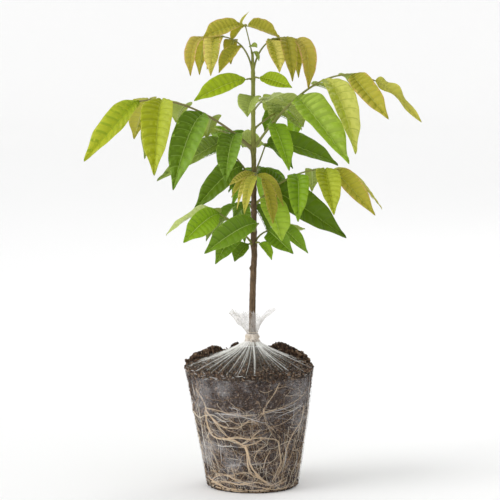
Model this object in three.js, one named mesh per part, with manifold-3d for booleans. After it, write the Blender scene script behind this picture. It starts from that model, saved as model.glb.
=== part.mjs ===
// Potted longan sapling: one slender stem, long-stalked pinnate leaves with drooping
// leaflets, and a tapered root ball wrapped in clear film that is tied round the stem.
// Millimetres, +Z up, -Y towards the viewer. The origin is the centre of the ball's flat underside.

import * as THREE from "three";
import { mergeVertices } from "three/addons/utils/BufferGeometryUtils.js";
import Module from "manifold-3d";

const wasm = await Module();
wasm.setup();

const V = (x, y, z) => new THREE.Vector3(x, y, z);
const UP = V(0, 0, 1);
const TOWARDS_VIEWER = V(0, -1, 0);

// Driving dimensions

const GAP = 0.3; // clearance between pieces that touch
const FILM = 0.9; // thickness of the wrapping as a solid
const AROUND = 24; // facets round the root ball

const BALL = {
  baseRadius: 57.5,
  rimRadius: 81,
  rimHeight: 150,
  rise: 26.5, // from the rim up to the stem's foot
  lean: -3.5, // sideways shift of the rim
  edge: 4, // rounding of the bottom edge
  edgeSlope: 0.6, // how far the edge draws in for each millimetre down
  footRadius: 8.5, // flat spot that carries the stem
  bump: 0.8, // unevenness of the side
  bumpFrom: 0.25, // share of the height over which the unevenness grows
  hem: 6, // distance of the sleeve's top below the rim
};
const SOIL_TOP = BALL.rimHeight + BALL.rise;
const MOUNDS = [
  { x: -44, y: 42, radius: 20, height: 9 },
  { x: 32, y: 46, radius: 24, height: 12 },
];

// Stem centre line as sideways offset at each height, with the radius there
const STEM = [
  { z: SOIL_TOP + GAP, x: 0, radius: 5.4 },
  { z: 190, x: 0, radius: 4.4 },
  { z: 225, x: 0, radius: 4.0 },
  { z: 258, x: 0.7, radius: 3.9 },
  { z: 291, x: 2.4, radius: 3.7 },
  { z: 310, x: 1.7, radius: 3.8 },
  { z: 347, x: 2.0, radius: 3.4 },
  { z: 383, x: 1.6, radius: 3.3 },
  { z: 402, x: 2.0, radius: 3.0 },
  { z: 423, x: 1.3, radius: 3.2 },
  { z: 470, x: 0.9, radius: 2.6 },
  { z: 512, x: 0.9, radius: 2.5 },
  { z: 530, x: 0.4, radius: 2.0 },
  { z: 543, x: 0, radius: 1.6 },
];
const STEM_SIDES = 10;

const NECK = {
  bottom: SOIL_TOP + GAP + FILM + GAP,
  waist: 186,
  top: 192,
  foot: 10.4,
  radius: 7.4,
  shoulder: { rise: 5, out: 1.2 }, // bend between the foot and the waist
  ease: { bottom: 0.6, top: 0.2 }, // room round the stem
  flutes: 5,
  fluteDepth: 0.5,
  sides: 16,
};
const TIE = { height: 188.5, thickness: 1.3, tall: 1.6, ease: 0.15, sides: 12 };
const FRILL = {
  foot: 6.6,
  bend: 0.42, // share of the reach at half the height
  half: 0.5, // half the thickness there
  rim: { width: 0.9, rise: 0.7 },
  wall: 1, // thickness at the foot
  plain: { weight: 0.15, reach: 9, top: 207 }, // the rim between the lobes
  sides: 16,
};
// Flare of the gathered film above the tie: direction round the stem, reach and top
const LOBES = [
  { towards: 185, reach: 30, top: 220, spread: 48 },
  { towards: 352, reach: 27, top: 227, spread: 26 },
  { towards: 268, reach: 11, top: 222, spread: 40 },
  { towards: 95, reach: 16, top: 216, spread: 50 },
];

const BLADE = {
  base: 1.1, // half width where the blade meets its stalk
  keel: 0.13, // depth of the midrib under the edges, as a share of the half width
  thinnest: 0.7, // least depth of the midrib
  lift: 0.3, // upward share of the direction in which a leaflet sets out
  stations: [0, 0.2, 0.5, 0.82, 1],
};
const STALK_SIDES = 6;
const STALK_STEP = 8; // length of one stretch of a bare stalk
const RACHIS_SIDES = 4;

// Finishes

function finish(color, roughness, extra = {}) {
  return new THREE.MeshStandardMaterial({ color, roughness, metalness: 0, ...extra });
}

const FINISHES = {
  soil: finish(0x3b2a20, 0.95),
  film: finish(0xe4e6e4, 0.15, { transparent: true, opacity: 0.35 }),
  tie: finish(0xcfc4b2, 0.6),
  bark: finish(0x6b4f36, 0.85),
  stalk: finish(0x6f7a34, 0.6),
  young: finish(0xa79b45, 0.45),
  lime: finish(0x93b02b, 0.4),
  green: finish(0x4b8a22, 0.4),
  pale: finish(0x8fa57a, 0.5),
};

// A leaflet leaves its rachis at a share of the rachis curve and droops to its tip.
// spring is how far it first reaches out, as a share of its length, and facing turns
// the upper side of the blade towards the viewer, in degrees.
function leaflet(at, tip, width, { spring = 0.3, facing = 0 } = {}) {
  return { at, tip: V(...tip), width, spring, facing };
}

// Every compound leaf: height of its foot on the stem, the knee and end of its curve,
// the shares where the bare stalk and each stretch of foliage stop, and its leaflets.
const LEAVES = [
  {
    name: "leaf_big_left",
    finish: "lime",
    foot: 423.5,
    knee: [-77, -4, 495],
    end: [-140, -12, 484],
    breaks: [0.13, 0.64, 1],
    radii: [2.1, 1.0],
    leaflets: [
      leaflet(0.17, [-35, -54, 386], 30),
      leaflet(0.46, [-98, -62, 377], 41),
      leaflet(0.82, [-121, -60, 395], 37),
      leaflet(1, [-208, -26, 410], 27, { spring: 0.15, facing: 60 }),
      leaflet(0.9, [-149, 36, 434], 26),
      leaflet(0.72, [-136, 46, 408], 30),
      leaflet(0.56, [-97, 66, 453], 28),
      leaflet(0.36, [-60, 54, 432], 26),
    ],
  },
  {
    name: "leaf_big_right",
    finish: "lime",
    foot: 424,
    knee: [82, -4, 544],
    end: [152, -10, 509],
    breaks: [0.11, 0.53, 1],
    radii: [2.1, 0.9],
    leaflets: [
      leaflet(0.14, [46, -48, 400], 27),
      leaflet(0.34, [118, -58, 409], 36, { spring: 0.22, facing: 15 }),
      leaflet(0.57, [127, -54, 421], 34),
      leaflet(0.8, [167, -42, 463], 25, { spring: 0.2 }),
      leaflet(1, [209, -20, 458], 16, { spring: 0.05, facing: 50 }),
      leaflet(0.25, [64, 50, 448], 24),
      leaflet(0.48, [112, 54, 486], 24),
      leaflet(0.7, [138, 42, 485], 22),
    ],
  },
  {
    name: "leaf_low_left",
    finish: "green",
    foot: 304,
    knee: [-24, -10, 335],
    end: [-50, -20, 351],
    breaks: [0.27, 1],
    radii: [1.6, 0.9],
    leaflets: [
      leaflet(0.32, [-46, -30, 283], 25, { facing: 60 }),
      leaflet(0.62, [-58, 22, 306], 20),
      leaflet(0.82, [-84, -52, 313], 26),
      leaflet(0.84, [-77, 44, 335], 22),
      leaflet(1, [-108, 2, 315], 20),
    ],
  },
  {
    name: "leaf_low_right",
    finish: "green",
    foot: 304,
    knee: [10, 4, 327],
    end: [41, 8, 322],
    breaks: [0.5, 1],
    radii: [1.5, 0.9],
    leaflets: [
      leaflet(0.6, [50, -22, 296], 21, { facing: 50 }),
      leaflet(0.94, [69, 12, 293], 20, { facing: 50 }),
      leaflet(0.9, [66, 50, 315], 18),
    ],
  },
  {
    name: "leaf_low_front",
    finish: "green",
    foot: 320,
    knee: [4, -20, 330],
    end: [7, -34, 334],
    breaks: [0.8, 1],
    radii: [1.5, 1.1],
    leaflets: [leaflet(1, [-59, -58, 299], 29, { spring: 0.12, facing: 60 })],
  },
  {
    name: "leaf_mid_right",
    finish: "green",
    foot: 353,
    knee: [52, -5, 407],
    end: [102, -12, 398],
    breaks: [0.07, 0.47, 1],
    radii: [1.8, 0.9],
    leaflets: [
      leaflet(0.11, [40, -46, 312], 30),
      leaflet(0.2, [118, 14, 311], 34, { spring: 0.1, facing: 65 }),
      leaflet(0.6, [58, -48, 337], 26),
      leaflet(0.7, [76, 34, 370], 22),
      leaflet(0.88, [100, -52, 346], 29),
      leaflet(1, [152, -26, 343], 22, { spring: 0.2, facing: 35 }),
      leaflet(0.97, [163, 24, 346], 18, { facing: 30 }),
    ],
  },
  {
    name: "shoot_front",
    finish: "young",
    foot: 390,
    knee: [2, -14, 399],
    end: [6, -30, 393],
    breaks: [0.22, 1],
    radii: [1.5, 0.9],
    leaflets: [
      leaflet(0.4, [-29, -32, 381], 14),
      leaflet(0.6, [-19, -44, 352], 12),
      leaflet(0.3, [-26, -12, 364], 12, { facing: 40 }),
      leaflet(1, [-10, -54, 347], 16, { facing: 20 }),
      leaflet(0.95, [38, -32, 355], 18, { facing: 40 }),
      leaflet(0.8, [25, -58, 336], 17),
    ],
  },
  {
    name: "leaf_mid_left",
    finish: "green",
    foot: 383,
    knee: [-18, 8, 412],
    end: [-38, 18, 432],
    breaks: [0.28, 1],
    radii: [1.6, 0.9],
    leaflets: [
      leaflet(0.34, [-73, 4, 347], 29, { spring: 0.12, facing: 60 }),
      leaflet(1, [-121, 50, 381], 27, { facing: 40 }),
      leaflet(0.8, [-66, 84, 400], 26),
    ],
  },
  {
    name: "leaf_mid_back_right",
    finish: "green",
    foot: 390.5,
    knee: [10, 22, 409],
    end: [17, 44, 428],
    breaks: [0.75, 1],
    radii: [1.5, 1.0],
    leaflets: [
      leaflet(1, [109, 60, 399], 24, { spring: 0.2, facing: 45 }),
      leaflet(0.92, [52, 96, 392], 24),
    ],
  },
  {
    name: "leaf_back_upper",
    finish: "pale",
    foot: 469,
    knee: [10, 34, 488],
    end: [34, 104, 486],
    breaks: [0.2, 1],
    radii: [1.5, 0.9],
    leaflets: [
      leaflet(0.4, [52, 52, 470], 22),
      leaflet(0.5, [-8, 78, 466], 20),
      leaflet(0.75, [70, 108, 476], 24),
      leaflet(0.85, [20, 122, 456], 24),
      leaflet(1, [50, 166, 452], 24),
    ],
  },
  {
    name: "leaf_upper_front",
    finish: "pale",
    foot: 484,
    knee: [4, -6, 492],
    end: [4, -11, 493],
    breaks: [0.7, 1],
    radii: [1.2, 0.9],
    leaflets: [leaflet(1, [-6, -46, 466], 28, { spring: 0.4 })],
  },
  {
    name: "leaf_small_left",
    finish: "lime",
    foot: 510.5,
    knee: [-3, -3, 512],
    end: [-7, -6, 511],
    breaks: [0.6, 1],
    radii: [1.3, 1.0],
    leaflets: [leaflet(1, [-72, -30, 485], 23, { spring: 0.3, facing: 55 })],
  },
  {
    name: "leaf_small_right",
    finish: "lime",
    foot: 512.5,
    knee: [4, -3, 514],
    end: [8, -6, 512.5],
    breaks: [0.6, 1],
    radii: [1.3, 1.0],
    leaflets: [leaflet(1, [49, -24, 501], 18, { facing: 55 })],
  },
  {
    name: "leaf_top_left",
    finish: "young",
    foot: 516,
    knee: [-7, -3, 574],
    end: [-61, -6, 562],
    breaks: [0.44, 1],
    radii: [1.5, 0.8],
    leaflets: [
      leaflet(1, [-76, -18, 515], 17, { spring: 0.5, facing: 20 }),
      leaflet(0.94, [-67, 22, 515], 15),
      leaflet(0.86, [-51, -42, 516], 20),
      leaflet(0.76, [-57, 40, 521], 18),
      leaflet(0.54, [-40, -32, 519], 19),
      leaflet(0.56, [-27, 32, 528], 18),
    ],
  },
  {
    name: "leaf_top_right",
    finish: "young",
    foot: 520,
    knee: [14, 2, 571],
    end: [58, 2, 557],
    breaks: [0.43, 1],
    radii: [1.5, 0.8],
    leaflets: [
      leaflet(0.5, [33, -38, 520], 22),
      leaflet(0.6, [45, 38, 526], 18),
      leaflet(0.8, [49, -38, 509], 18),
      leaflet(0.9, [58, 34, 511], 16),
      leaflet(1, [70, -8, 499], 21, { spring: 0.5, facing: 40 }),
      leaflet(0.48, [38, 26, 556], 14),
    ],
  },
  {
    name: "leaf_top",
    finish: "young",
    foot: 540,
    knee: [-4, 0, 559],
    end: [-9, -2, 578],
    breaks: [0.88, 1],
    radii: [1.0, 0.8],
    leaflets: [
      leaflet(1, [-61, -20, 562], 19, { facing: 50 }),
      leaflet(0.97, [-27, 26, 556], 16),
      leaflet(0.98, [31, 12, 564], 20, { facing: 50 }),
      leaflet(1, [-6, 2, 595], 3, { spring: 0.2 }),
    ],
  },
  {
    name: "leaf_back_left",
    finish: "green",
    foot: 420,
    knee: [-26, 50, 446],
    end: [-64, 108, 446],
    breaks: [0.2, 1],
    radii: [1.6, 0.9],
    leaflets: [
      leaflet(0.3, [10, 50, 425], 26),
      leaflet(0.55, [-10, 100, 408], 26),
      leaflet(0.62, [-76, 72, 424], 24),
      leaflet(0.9, [-34, 142, 404], 27),
      leaflet(1, [-96, 160, 402], 27, { facing: -20 }),
    ],
  },
  {
    name: "leaf_back_right",
    finish: "green",
    foot: 448,
    knee: [35, 45, 477],
    end: [64, 102, 470],
    breaks: [0.22, 1],
    radii: [1.6, 0.9],
    leaflets: [
      leaflet(0.4, [62, 36, 440], 24),
      leaflet(0.55, [16, 84, 440], 24),
      leaflet(0.75, [104, 84, 432], 26),
      leaflet(0.9, [52, 140, 424], 26),
      leaflet(1, [112, 144, 424], 27, { facing: -20 }),
    ],
  },
  {
    name: "leaf_mid_back",
    finish: "green",
    foot: 372,
    knee: [6, 40, 400],
    end: [10, 92, 392],
    breaks: [0.24, 1],
    radii: [1.6, 0.9],
    leaflets: [
      leaflet(0.4, [50, 60, 368], 25, { facing: 30 }),
      leaflet(0.55, [-30, 66, 364], 24),
      leaflet(0.85, [48, 112, 340], 27),
      leaflet(0.9, [-26, 128, 342], 27),
      leaflet(1, [16, 164, 334], 27),
    ],
  },
  {
    name: "leaf_low_back",
    finish: "green",
    foot: 345,
    knee: [-8, 34, 362],
    end: [-16, 72, 346],
    breaks: [0.24, 1],
    radii: [1.5, 0.9],
    leaflets: [
      leaflet(0.3, [-24, 26, 330], 17, { facing: 40 }),
      leaflet(0.6, [22, 58, 304], 24),
      leaflet(0.85, [-52, 92, 298], 24),
      leaflet(1, [-10, 122, 294], 24),
    ],
  },
  {
    name: "leaf_bottom_left",
    finish: "green",
    foot: 303,
    knee: [-2, -4, 307],
    end: [-4, -7, 306],
    breaks: [0.6, 1],
    radii: [1.3, 1.0],
    leaflets: [leaflet(1, [-22, -20, 284], 16, { facing: 30 })],
  },
  {
    name: "leaf_bottom_right",
    finish: "green",
    foot: 306,
    knee: [7, -4, 309],
    end: [9, -7, 307],
    breaks: [0.6, 1],
    radii: [1.3, 1.0],
    leaflets: [leaflet(1, [24, -18, 287], 12, { facing: 30 })],
  },
];

// Solids from rings

function signedVolume(positions, index) {
  const corner = (k) => V(...positions.slice(3 * index[k], 3 * index[k] + 3));
  let total = 0;
  for (let k = 0; k < index.length; k += 3) {
    total += corner(k).dot(corner(k + 1).cross(corner(k + 2)));
  }
  return total / 6;
}

function closedGeometry(points, index) {
  const positions = points.flatMap((point) => point.toArray());
  if (signedVolume(positions, index) < 0) index.reverse();
  const geometry = new THREE.BufferGeometry();
  geometry.setAttribute("position", new THREE.Float32BufferAttribute(positions, 3));
  geometry.setIndex(index);
  return geometry;
}

function bridge(index, first, second, count) {
  for (let j = 0; j < count; j++) {
    const next = (j + 1) % count;
    index.push(first + j, first + next, second + next);
    index.push(first + j, second + next, second + j);
  }
}

/** Closed skin over a row of rings with the same number of points, fanned shut at both ends. */
function loft(rings) {
  const count = rings[0].length;
  const points = rings.flat();
  const index = [];
  for (let i = 0; i + 1 < rings.length; i++) bridge(index, i * count, (i + 1) * count, count);
  for (const end of [0, rings.length - 1]) {
    const centre = points.push(middle(rings[end])) - 1;
    for (let j = 0; j < count; j++) {
      const edge = [end * count + j, end * count + ((j + 1) % count)];
      index.push(centre, ...(end === 0 ? edge.reverse() : edge));
    }
  }
  return closedGeometry(points, index);
}

/** Closed ring round the stem: one outline for each direction, joined to the next one. */
function ringSolid(outlines) {
  const count = outlines[0].length;
  const index = [];
  outlines.forEach((_, i) => bridge(index, i * count, ((i + 1) % outlines.length) * count, count));
  return closedGeometry(outlines.flat(), index);
}

function middle(points) {
  return points.reduce((sum, point) => sum.add(point), V(0, 0, 0)).divideScalar(points.length);
}

function directions(count) {
  return Array.from({ length: count }, (_, j) => (2 * Math.PI * j) / count);
}

// Joining and cutting

function toSolid(geometry) {
  const merged = mergeVertices(geometry);
  const vertProperties = new Float32Array(merged.attributes.position.array);
  const triVerts = new Uint32Array(merged.index.array);
  return new wasm.Manifold(new wasm.Mesh({ numProp: 3, vertProperties, triVerts }));
}

function toGeometry(solid) {
  const { vertProperties, triVerts } = solid.getMesh();
  const geometry = new THREE.BufferGeometry();
  geometry.setAttribute("position", new THREE.Float32BufferAttribute(vertProperties, 3));
  geometry.setIndex([...triVerts]);
  return geometry;
}

// Root ball

function wobble(angle, level) {
  return Math.sin(3 * angle + 0.031 * level) + 0.6 * Math.sin(7 * angle - 0.05 * level + 1.3);
}

/** Point of the ball's side at a height, pushed out by a distance. */
function sidePoint(angle, height, out = 0) {
  const share = height / BALL.rimHeight;
  const taper = BALL.baseRadius + (BALL.rimRadius - BALL.baseRadius) * share;
  const edge = Math.max(0, BALL.edge - height);
  const grown = Math.min(1, share / BALL.bumpFrom);
  const radius = taper - edge * BALL.edgeSlope + BALL.bump * wobble(angle, height) * grown + out;
  return V(BALL.lean * share + radius * Math.cos(angle), radius * Math.sin(angle), height);
}

/** Point of the soil's top at a share of the way out to the rim, raised by a distance. */
function topPoint(angle, share, raise = 0) {
  const rim = sidePoint(angle, BALL.rimHeight);
  const point = V(rim.x * share, rim.y * share, 0);
  const mound = (m) => m.height * Math.exp(-((point.x - m.x) ** 2 + (point.y - m.y) ** 2) / m.radius ** 2);
  const edge = 1 - share ** 6;
  const heaped = MOUNDS.reduce((sum, m) => sum + mound(m), 0) * edge;
  point.z = BALL.rimHeight + BALL.rise * (1 - share ** 1.25) + heaped + raise;
  return point;
}

const SIDE_HEIGHTS = [0, BALL.edge, 50, 98, BALL.rimHeight - BALL.hem];
const TOP_SHARES = [0.97, 0.82, 0.62, 0.42, 0.25];

function rootBall() {
  const angles = directions(AROUND);
  const foot = angles.map((a) => V(BALL.footRadius * Math.cos(a), BALL.footRadius * Math.sin(a), SOIL_TOP));
  const rings = SIDE_HEIGHTS.map((height) => angles.map((a) => sidePoint(a, height)));
  rings.push(...TOP_SHARES.map((share) => angles.map((a) => topPoint(a, share))), foot);
  return loft(rings);
}

function filmSleeve() {
  const heights = SIDE_HEIGHTS.slice(1);
  return ringSolid(
    directions(AROUND).map((angle) => [
      ...heights.map((height) => sidePoint(angle, height, GAP)),
      ...heights.toReversed().map((height) => sidePoint(angle, height, GAP + FILM)),
    ]),
  );
}

function filmSkirt() {
  return ringSolid(
    directions(AROUND).map((angle) => {
      const low = BALL.rimHeight - BALL.hem + GAP;
      const hem = sidePoint(angle, low, GAP);
      const brim = sidePoint(angle, low, GAP + FILM);
      const inner = TOP_SHARES.map((share) => topPoint(angle, share, GAP));
      const outer = TOP_SHARES.map((share) => topPoint(angle, share, GAP + FILM));
      const collar = V(NECK.foot * Math.cos(angle), NECK.foot * Math.sin(angle), SOIL_TOP + GAP);
      return [hem, ...inner, collar, collar.clone().setZ(collar.z + FILM), ...outer.toReversed(), brim];
    }),
  );
}

// Stem

function stemAt(height) {
  const upper = Math.min(Math.max(STEM.findIndex((s) => s.z >= height), 1), STEM.length - 1);
  const [low, high] = [STEM[upper - 1], STEM[upper]];
  const share = THREE.MathUtils.clamp((height - low.z) / (high.z - low.z), 0, 1);
  return {
    centre: V(THREE.MathUtils.lerp(low.x, high.x, share), 0, height),
    radius: THREE.MathUtils.lerp(low.radius, high.radius, share),
  };
}

function stem(out = 0) {
  const ring = (s) =>
    directions(STEM_SIDES).map((a) => V(s.x + (s.radius + out) * Math.cos(a), (s.radius + out) * Math.sin(a), s.z));
  return loft(STEM.map(ring));
}

/** Round outline about the stem through points given as radius and height. */
function about(angle, profile) {
  return profile.map(([radius, height]) => {
    const { centre } = stemAt(height);
    return V(centre.x + radius * Math.cos(angle), radius * Math.sin(angle), height);
  });
}

function filmNeck() {
  const inner = (height) => stemAt(height).radius + GAP;
  const flute = (angle) => NECK.fluteDepth * Math.sin(NECK.flutes * angle);
  return ringSolid(
    directions(NECK.sides).map((angle) =>
      about(angle, [
        [inner(NECK.bottom) + NECK.ease.bottom, NECK.bottom],
        [NECK.foot + flute(angle), NECK.bottom],
        [NECK.radius + NECK.shoulder.out + flute(angle), NECK.bottom + NECK.shoulder.rise],
        [NECK.radius, NECK.waist],
        [NECK.radius, NECK.top],
        [inner(NECK.top) + NECK.ease.top, NECK.top],
      ]),
    ),
  );
}

function neckTie() {
  const centre = NECK.radius + GAP + TIE.thickness + TIE.ease;
  const section = directions(6).map((a) => [
    centre + TIE.thickness * Math.cos(a),
    TIE.height + TIE.tall * TIE.thickness * Math.sin(a),
  ]);
  return ringSolid(directions(TIE.sides).map((angle) => about(angle, section)));
}

/** Reach and top of the gathered film in one direction, blended from its lobes. */
function frillRim(angle) {
  const weights = LOBES.map((lobe) => {
    const turn = Math.abs(((THREE.MathUtils.radToDeg(angle) - lobe.towards + 540) % 360) - 180);
    return Math.exp(-((turn / lobe.spread) ** 2));
  });
  const { plain } = FRILL;
  const total = weights.reduce((sum, w) => sum + w, plain.weight);
  const blend = (key) =>
    LOBES.reduce((sum, lobe, i) => sum + weights[i] * lobe[key], plain.weight * plain[key]) / total;
  return { reach: blend("reach"), top: blend("top") };
}

function filmFrill() {
  return ringSolid(
    directions(FRILL.sides).map((angle) => {
      const { reach, top } = frillRim(angle);
      const bottom = NECK.top + GAP;
      const halfway = (bottom + top) / 2;
      const { foot, bend, half, rim, wall } = FRILL;
      return about(angle, [
        [foot, bottom],
        [foot + (reach - foot) * bend + half, halfway],
        [reach, top],
        [reach - rim.width, top + rim.rise],
        [foot + (reach - foot) * bend - half, halfway + half],
        [foot - wall, bottom],
      ]);
    }),
  );
}

// Leaves

function leafCurve(leaf) {
  const { centre } = stemAt(leaf.foot);
  return new THREE.QuadraticBezierCurve3(centre, V(...leaf.knee), V(...leaf.end));
}

/** Tapering round limb along a stretch of a curve, its rings square to the curve and never twisted. */
function limb(curve, [from, to], radii, sides, steps) {
  const rings = [];
  const side = curve.v1.clone().sub(curve.v0).cross(curve.v2.clone().sub(curve.v1)).normalize();
  for (let i = 0; i <= steps; i++) {
    const share = from + ((to - from) * i) / steps;
    const centre = curve.getPoint(share);
    const over = side.clone().cross(curve.getTangent(share));
    const radius = THREE.MathUtils.lerp(radii[0], radii[1], share);
    rings.push(
      directions(sides).map((a) =>
        centre
          .clone()
          .addScaledVector(side, radius * Math.cos(a))
          .addScaledVector(over, radius * Math.sin(a)),
      ),
    );
  }
  return loft(rings);
}

/** Half width of a blade: broad below its middle, drawn out into a drip tip. */
function halfWidth(share, width) {
  return Math.max(0.4, (width / 2) * Math.sin(Math.PI * share ** 0.9) ** 0.75);
}

/** Thin keeled blade that springs from its base and droops to its tip. */
function blade(base, { tip, width, spring, facing }) {
  const reach = tip.clone().sub(base);
  const outward = V(reach.x, reach.y, 0).normalize();
  const knee = outward.addScaledVector(UP, BLADE.lift).normalize().multiplyScalar(spring * reach.length()).add(base);
  const curve = new THREE.QuadraticBezierCurve3(base, knee, tip);
  const bulge = knee.clone().sub(middle([base, tip]));
  const across = reach.clone().cross(bulge).normalize();
  if (across.dot(TOWARDS_VIEWER) < 0) across.negate();
  const turned = THREE.MathUtils.degToRad(facing);
  const rings = BLADE.stations.map((share) => {
    const centre = curve.getPoint(share);
    const along = curve.getTangent(share);
    const face = across.clone().cross(along);
    if (face.dot(bulge) < 0) face.negate();
    const normal = face.multiplyScalar(Math.cos(turned)).addScaledVector(across, Math.sin(turned));
    const wide = normal.clone().cross(along);
    const half = share === 0 ? BLADE.base : halfWidth(share, width);
    const keel = Math.max(BLADE.thinnest, half * BLADE.keel);
    return [
      centre.clone().addScaledVector(wide, half).addScaledVector(normal, keel / 2),
      centre.clone().addScaledVector(wide, -half).addScaledVector(normal, keel / 2),
      centre.clone().addScaledVector(normal, -keel / 2),
    ];
  });
  return loft(rings);
}

/** The share of the curve that lies a small distance further along it. */
function nudge(curve, share, distance) {
  return Math.min(1, share + distance / curve.getLength());
}

function leafPieces(leaf, grownStem) {
  const curve = leafCurve(leaf);
  const pieces = [];
  const bare = [0, leaf.breaks[0]];
  const steps = THREE.MathUtils.clamp(Math.round((curve.getLength() * bare[1]) / STALK_STEP), 1, 3);
  const stalk = toSolid(limb(curve, bare, leaf.radii, STALK_SIDES, steps));
  pieces.push({ name: `${leaf.name}_stalk`, finish: "stalk", solid: stalk.subtract(grownStem) });
  const names = leaf.breaks.length > 2 ? ["inner", "outer"] : ["foliage"];
  names.forEach((name, i) => {
    const from = nudge(curve, leaf.breaks[i], GAP);
    const to = leaf.breaks[i + 1];
    const last = i === names.length - 1;
    let solid = toSolid(limb(curve, [from, to], leaf.radii, RACHIS_SIDES, 3));
    for (const one of leaf.leaflets) {
      if (one.at < leaf.breaks[i] || (one.at >= to && !last)) continue;
      solid = solid.add(toSolid(blade(curve.getPoint(Math.min(one.at, 0.995)), one)));
    }
    pieces.push({ name: `${leaf.name}_${name}`, finish: leaf.finish, solid: solid.subtract(grownStem) });
  });
  return pieces;
}

// Scene graph

const plant = new THREE.Group();

function addPiece(name, geometry, material) {
  const mesh = new THREE.Mesh(geometry, material);
  mesh.name = name;
  plant.add(mesh);
}

addPiece("root_ball", rootBall(), FINISHES.soil);
addPiece("film_sleeve", filmSleeve(), FINISHES.film);
addPiece("film_skirt", filmSkirt(), FINISHES.film);
addPiece("film_neck", filmNeck(), FINISHES.film);
addPiece("neck_tie", neckTie(), FINISHES.tie);
addPiece("film_frill", filmFrill(), FINISHES.film);
addPiece("stem", stem(), FINISHES.bark);

const grownStem = toSolid(stem(GAP));
for (const leaf of LEAVES) {
  for (const piece of leafPieces(leaf, grownStem)) {
    addPiece(piece.name, toGeometry(piece.solid), FINISHES[piece.finish]);
  }
}

export default plant;
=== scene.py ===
"""Potted longan sapling: one slender stem with drooping compound leaves, rooted in soil in clear film.

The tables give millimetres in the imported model's frame, and every mesh is made in metres.
"""

import logging
import math
from dataclasses import dataclass, field
from enum import Enum
from itertools import combinations
from typing import Sequence

import bpy
import numpy as np
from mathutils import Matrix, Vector, noise


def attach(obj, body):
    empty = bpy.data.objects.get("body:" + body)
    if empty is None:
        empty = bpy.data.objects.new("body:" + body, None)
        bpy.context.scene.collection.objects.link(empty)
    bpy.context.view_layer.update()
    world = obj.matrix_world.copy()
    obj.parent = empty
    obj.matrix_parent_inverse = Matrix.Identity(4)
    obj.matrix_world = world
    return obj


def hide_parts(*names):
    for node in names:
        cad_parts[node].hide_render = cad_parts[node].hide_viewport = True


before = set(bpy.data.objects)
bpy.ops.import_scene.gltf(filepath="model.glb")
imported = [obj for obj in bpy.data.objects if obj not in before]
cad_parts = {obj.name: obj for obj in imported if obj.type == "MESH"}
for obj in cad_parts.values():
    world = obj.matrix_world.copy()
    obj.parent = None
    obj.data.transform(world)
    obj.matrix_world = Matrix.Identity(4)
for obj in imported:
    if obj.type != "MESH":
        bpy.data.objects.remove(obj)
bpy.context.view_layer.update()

Array = np.ndarray
Colour = tuple[float, float, float]
Place = tuple[float, float, float]
Socket = bpy.types.NodeSocket
MM = 0.001
UP = np.array([0.0, 0.0, 1.0])
TOWARDS_VIEWER = np.array([0.0, -1.0, 0.0])
ROUND_THE_BALL = 70
BODY = "root"
LOG = logging.getLogger("longan")


# Small sums on points and shares


def unit(vectors: Array) -> Array:
    """Scales each vector to length one."""
    length = np.linalg.norm(vectors, axis=-1, keepdims=True)
    return vectors / np.maximum(length, 1e-12)


def ease(value: Array | float, low: float, high: float) -> Array | float:
    """Smooth step from nought at low to one at high."""
    share = np.clip((value - low) / (high - low), 0.0, 1.0)
    return share * share * (3.0 - 2.0 * share)


def whole_turn(count: int) -> Array:
    """Directions spread evenly round one turn, in radians."""
    return np.linspace(0, 2 * math.pi, count, endpoint=False)


def aside(angle: Array, centre: float) -> Array:
    """Angle from a direction, wrapped to half a turn either way."""
    return np.angle(np.exp(1j * (angle - centre)))


def bell(distance: Array, width: float) -> Array:
    """Round hump, one at nought and fading over its width."""
    return np.exp(-((distance / width) ** 2))


def grain(points: Array, pitch: float, octaves: int = 3, seed: float = 0.0) -> Array:
    """Layered noise at each point.

    Args:
        points: Places in millimetres, one row each.
        pitch: Size of the coarsest grain in millimetres.
        octaves: Number of finer layers added.
        seed: Shift that gives another pattern.

    Returns:
        One value for each point, about minus one to one.
    """
    shift = Vector((seed, -seed, 2.0 * seed))
    flat = points.reshape(-1, 3) / pitch
    values = [noise.fractal(Vector(p) + shift, 1.0, 2.0, octaves) for p in flat]
    return np.array(values).reshape(points.shape[:-1])


@dataclass(frozen=True)
class Arc:
    """Curve that leaves start towards knee and arrives at end from it."""

    start: Array
    knee: Array
    end: Array

    def point(self, share: Array | float) -> Array:
        """Place at a share of the curve."""
        t = np.asarray(share, float)[..., None]
        return (1 - t) ** 2 * self.start + 2 * t * (1 - t) * self.knee + t**2 * self.end

    def along(self, share: Array | float) -> Array:
        """Direction of the curve at a share of it."""
        t = np.asarray(share, float)[..., None]
        return unit(2 * (1 - t) * (self.knee - self.start) + 2 * t * (self.end - self.knee))

    def length(self) -> float:
        """Length of the curve in millimetres."""
        line = self.point(np.linspace(0, 1, 33))
        return float(np.linalg.norm(np.diff(line, axis=0), axis=1).sum())


# Meshes


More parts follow.
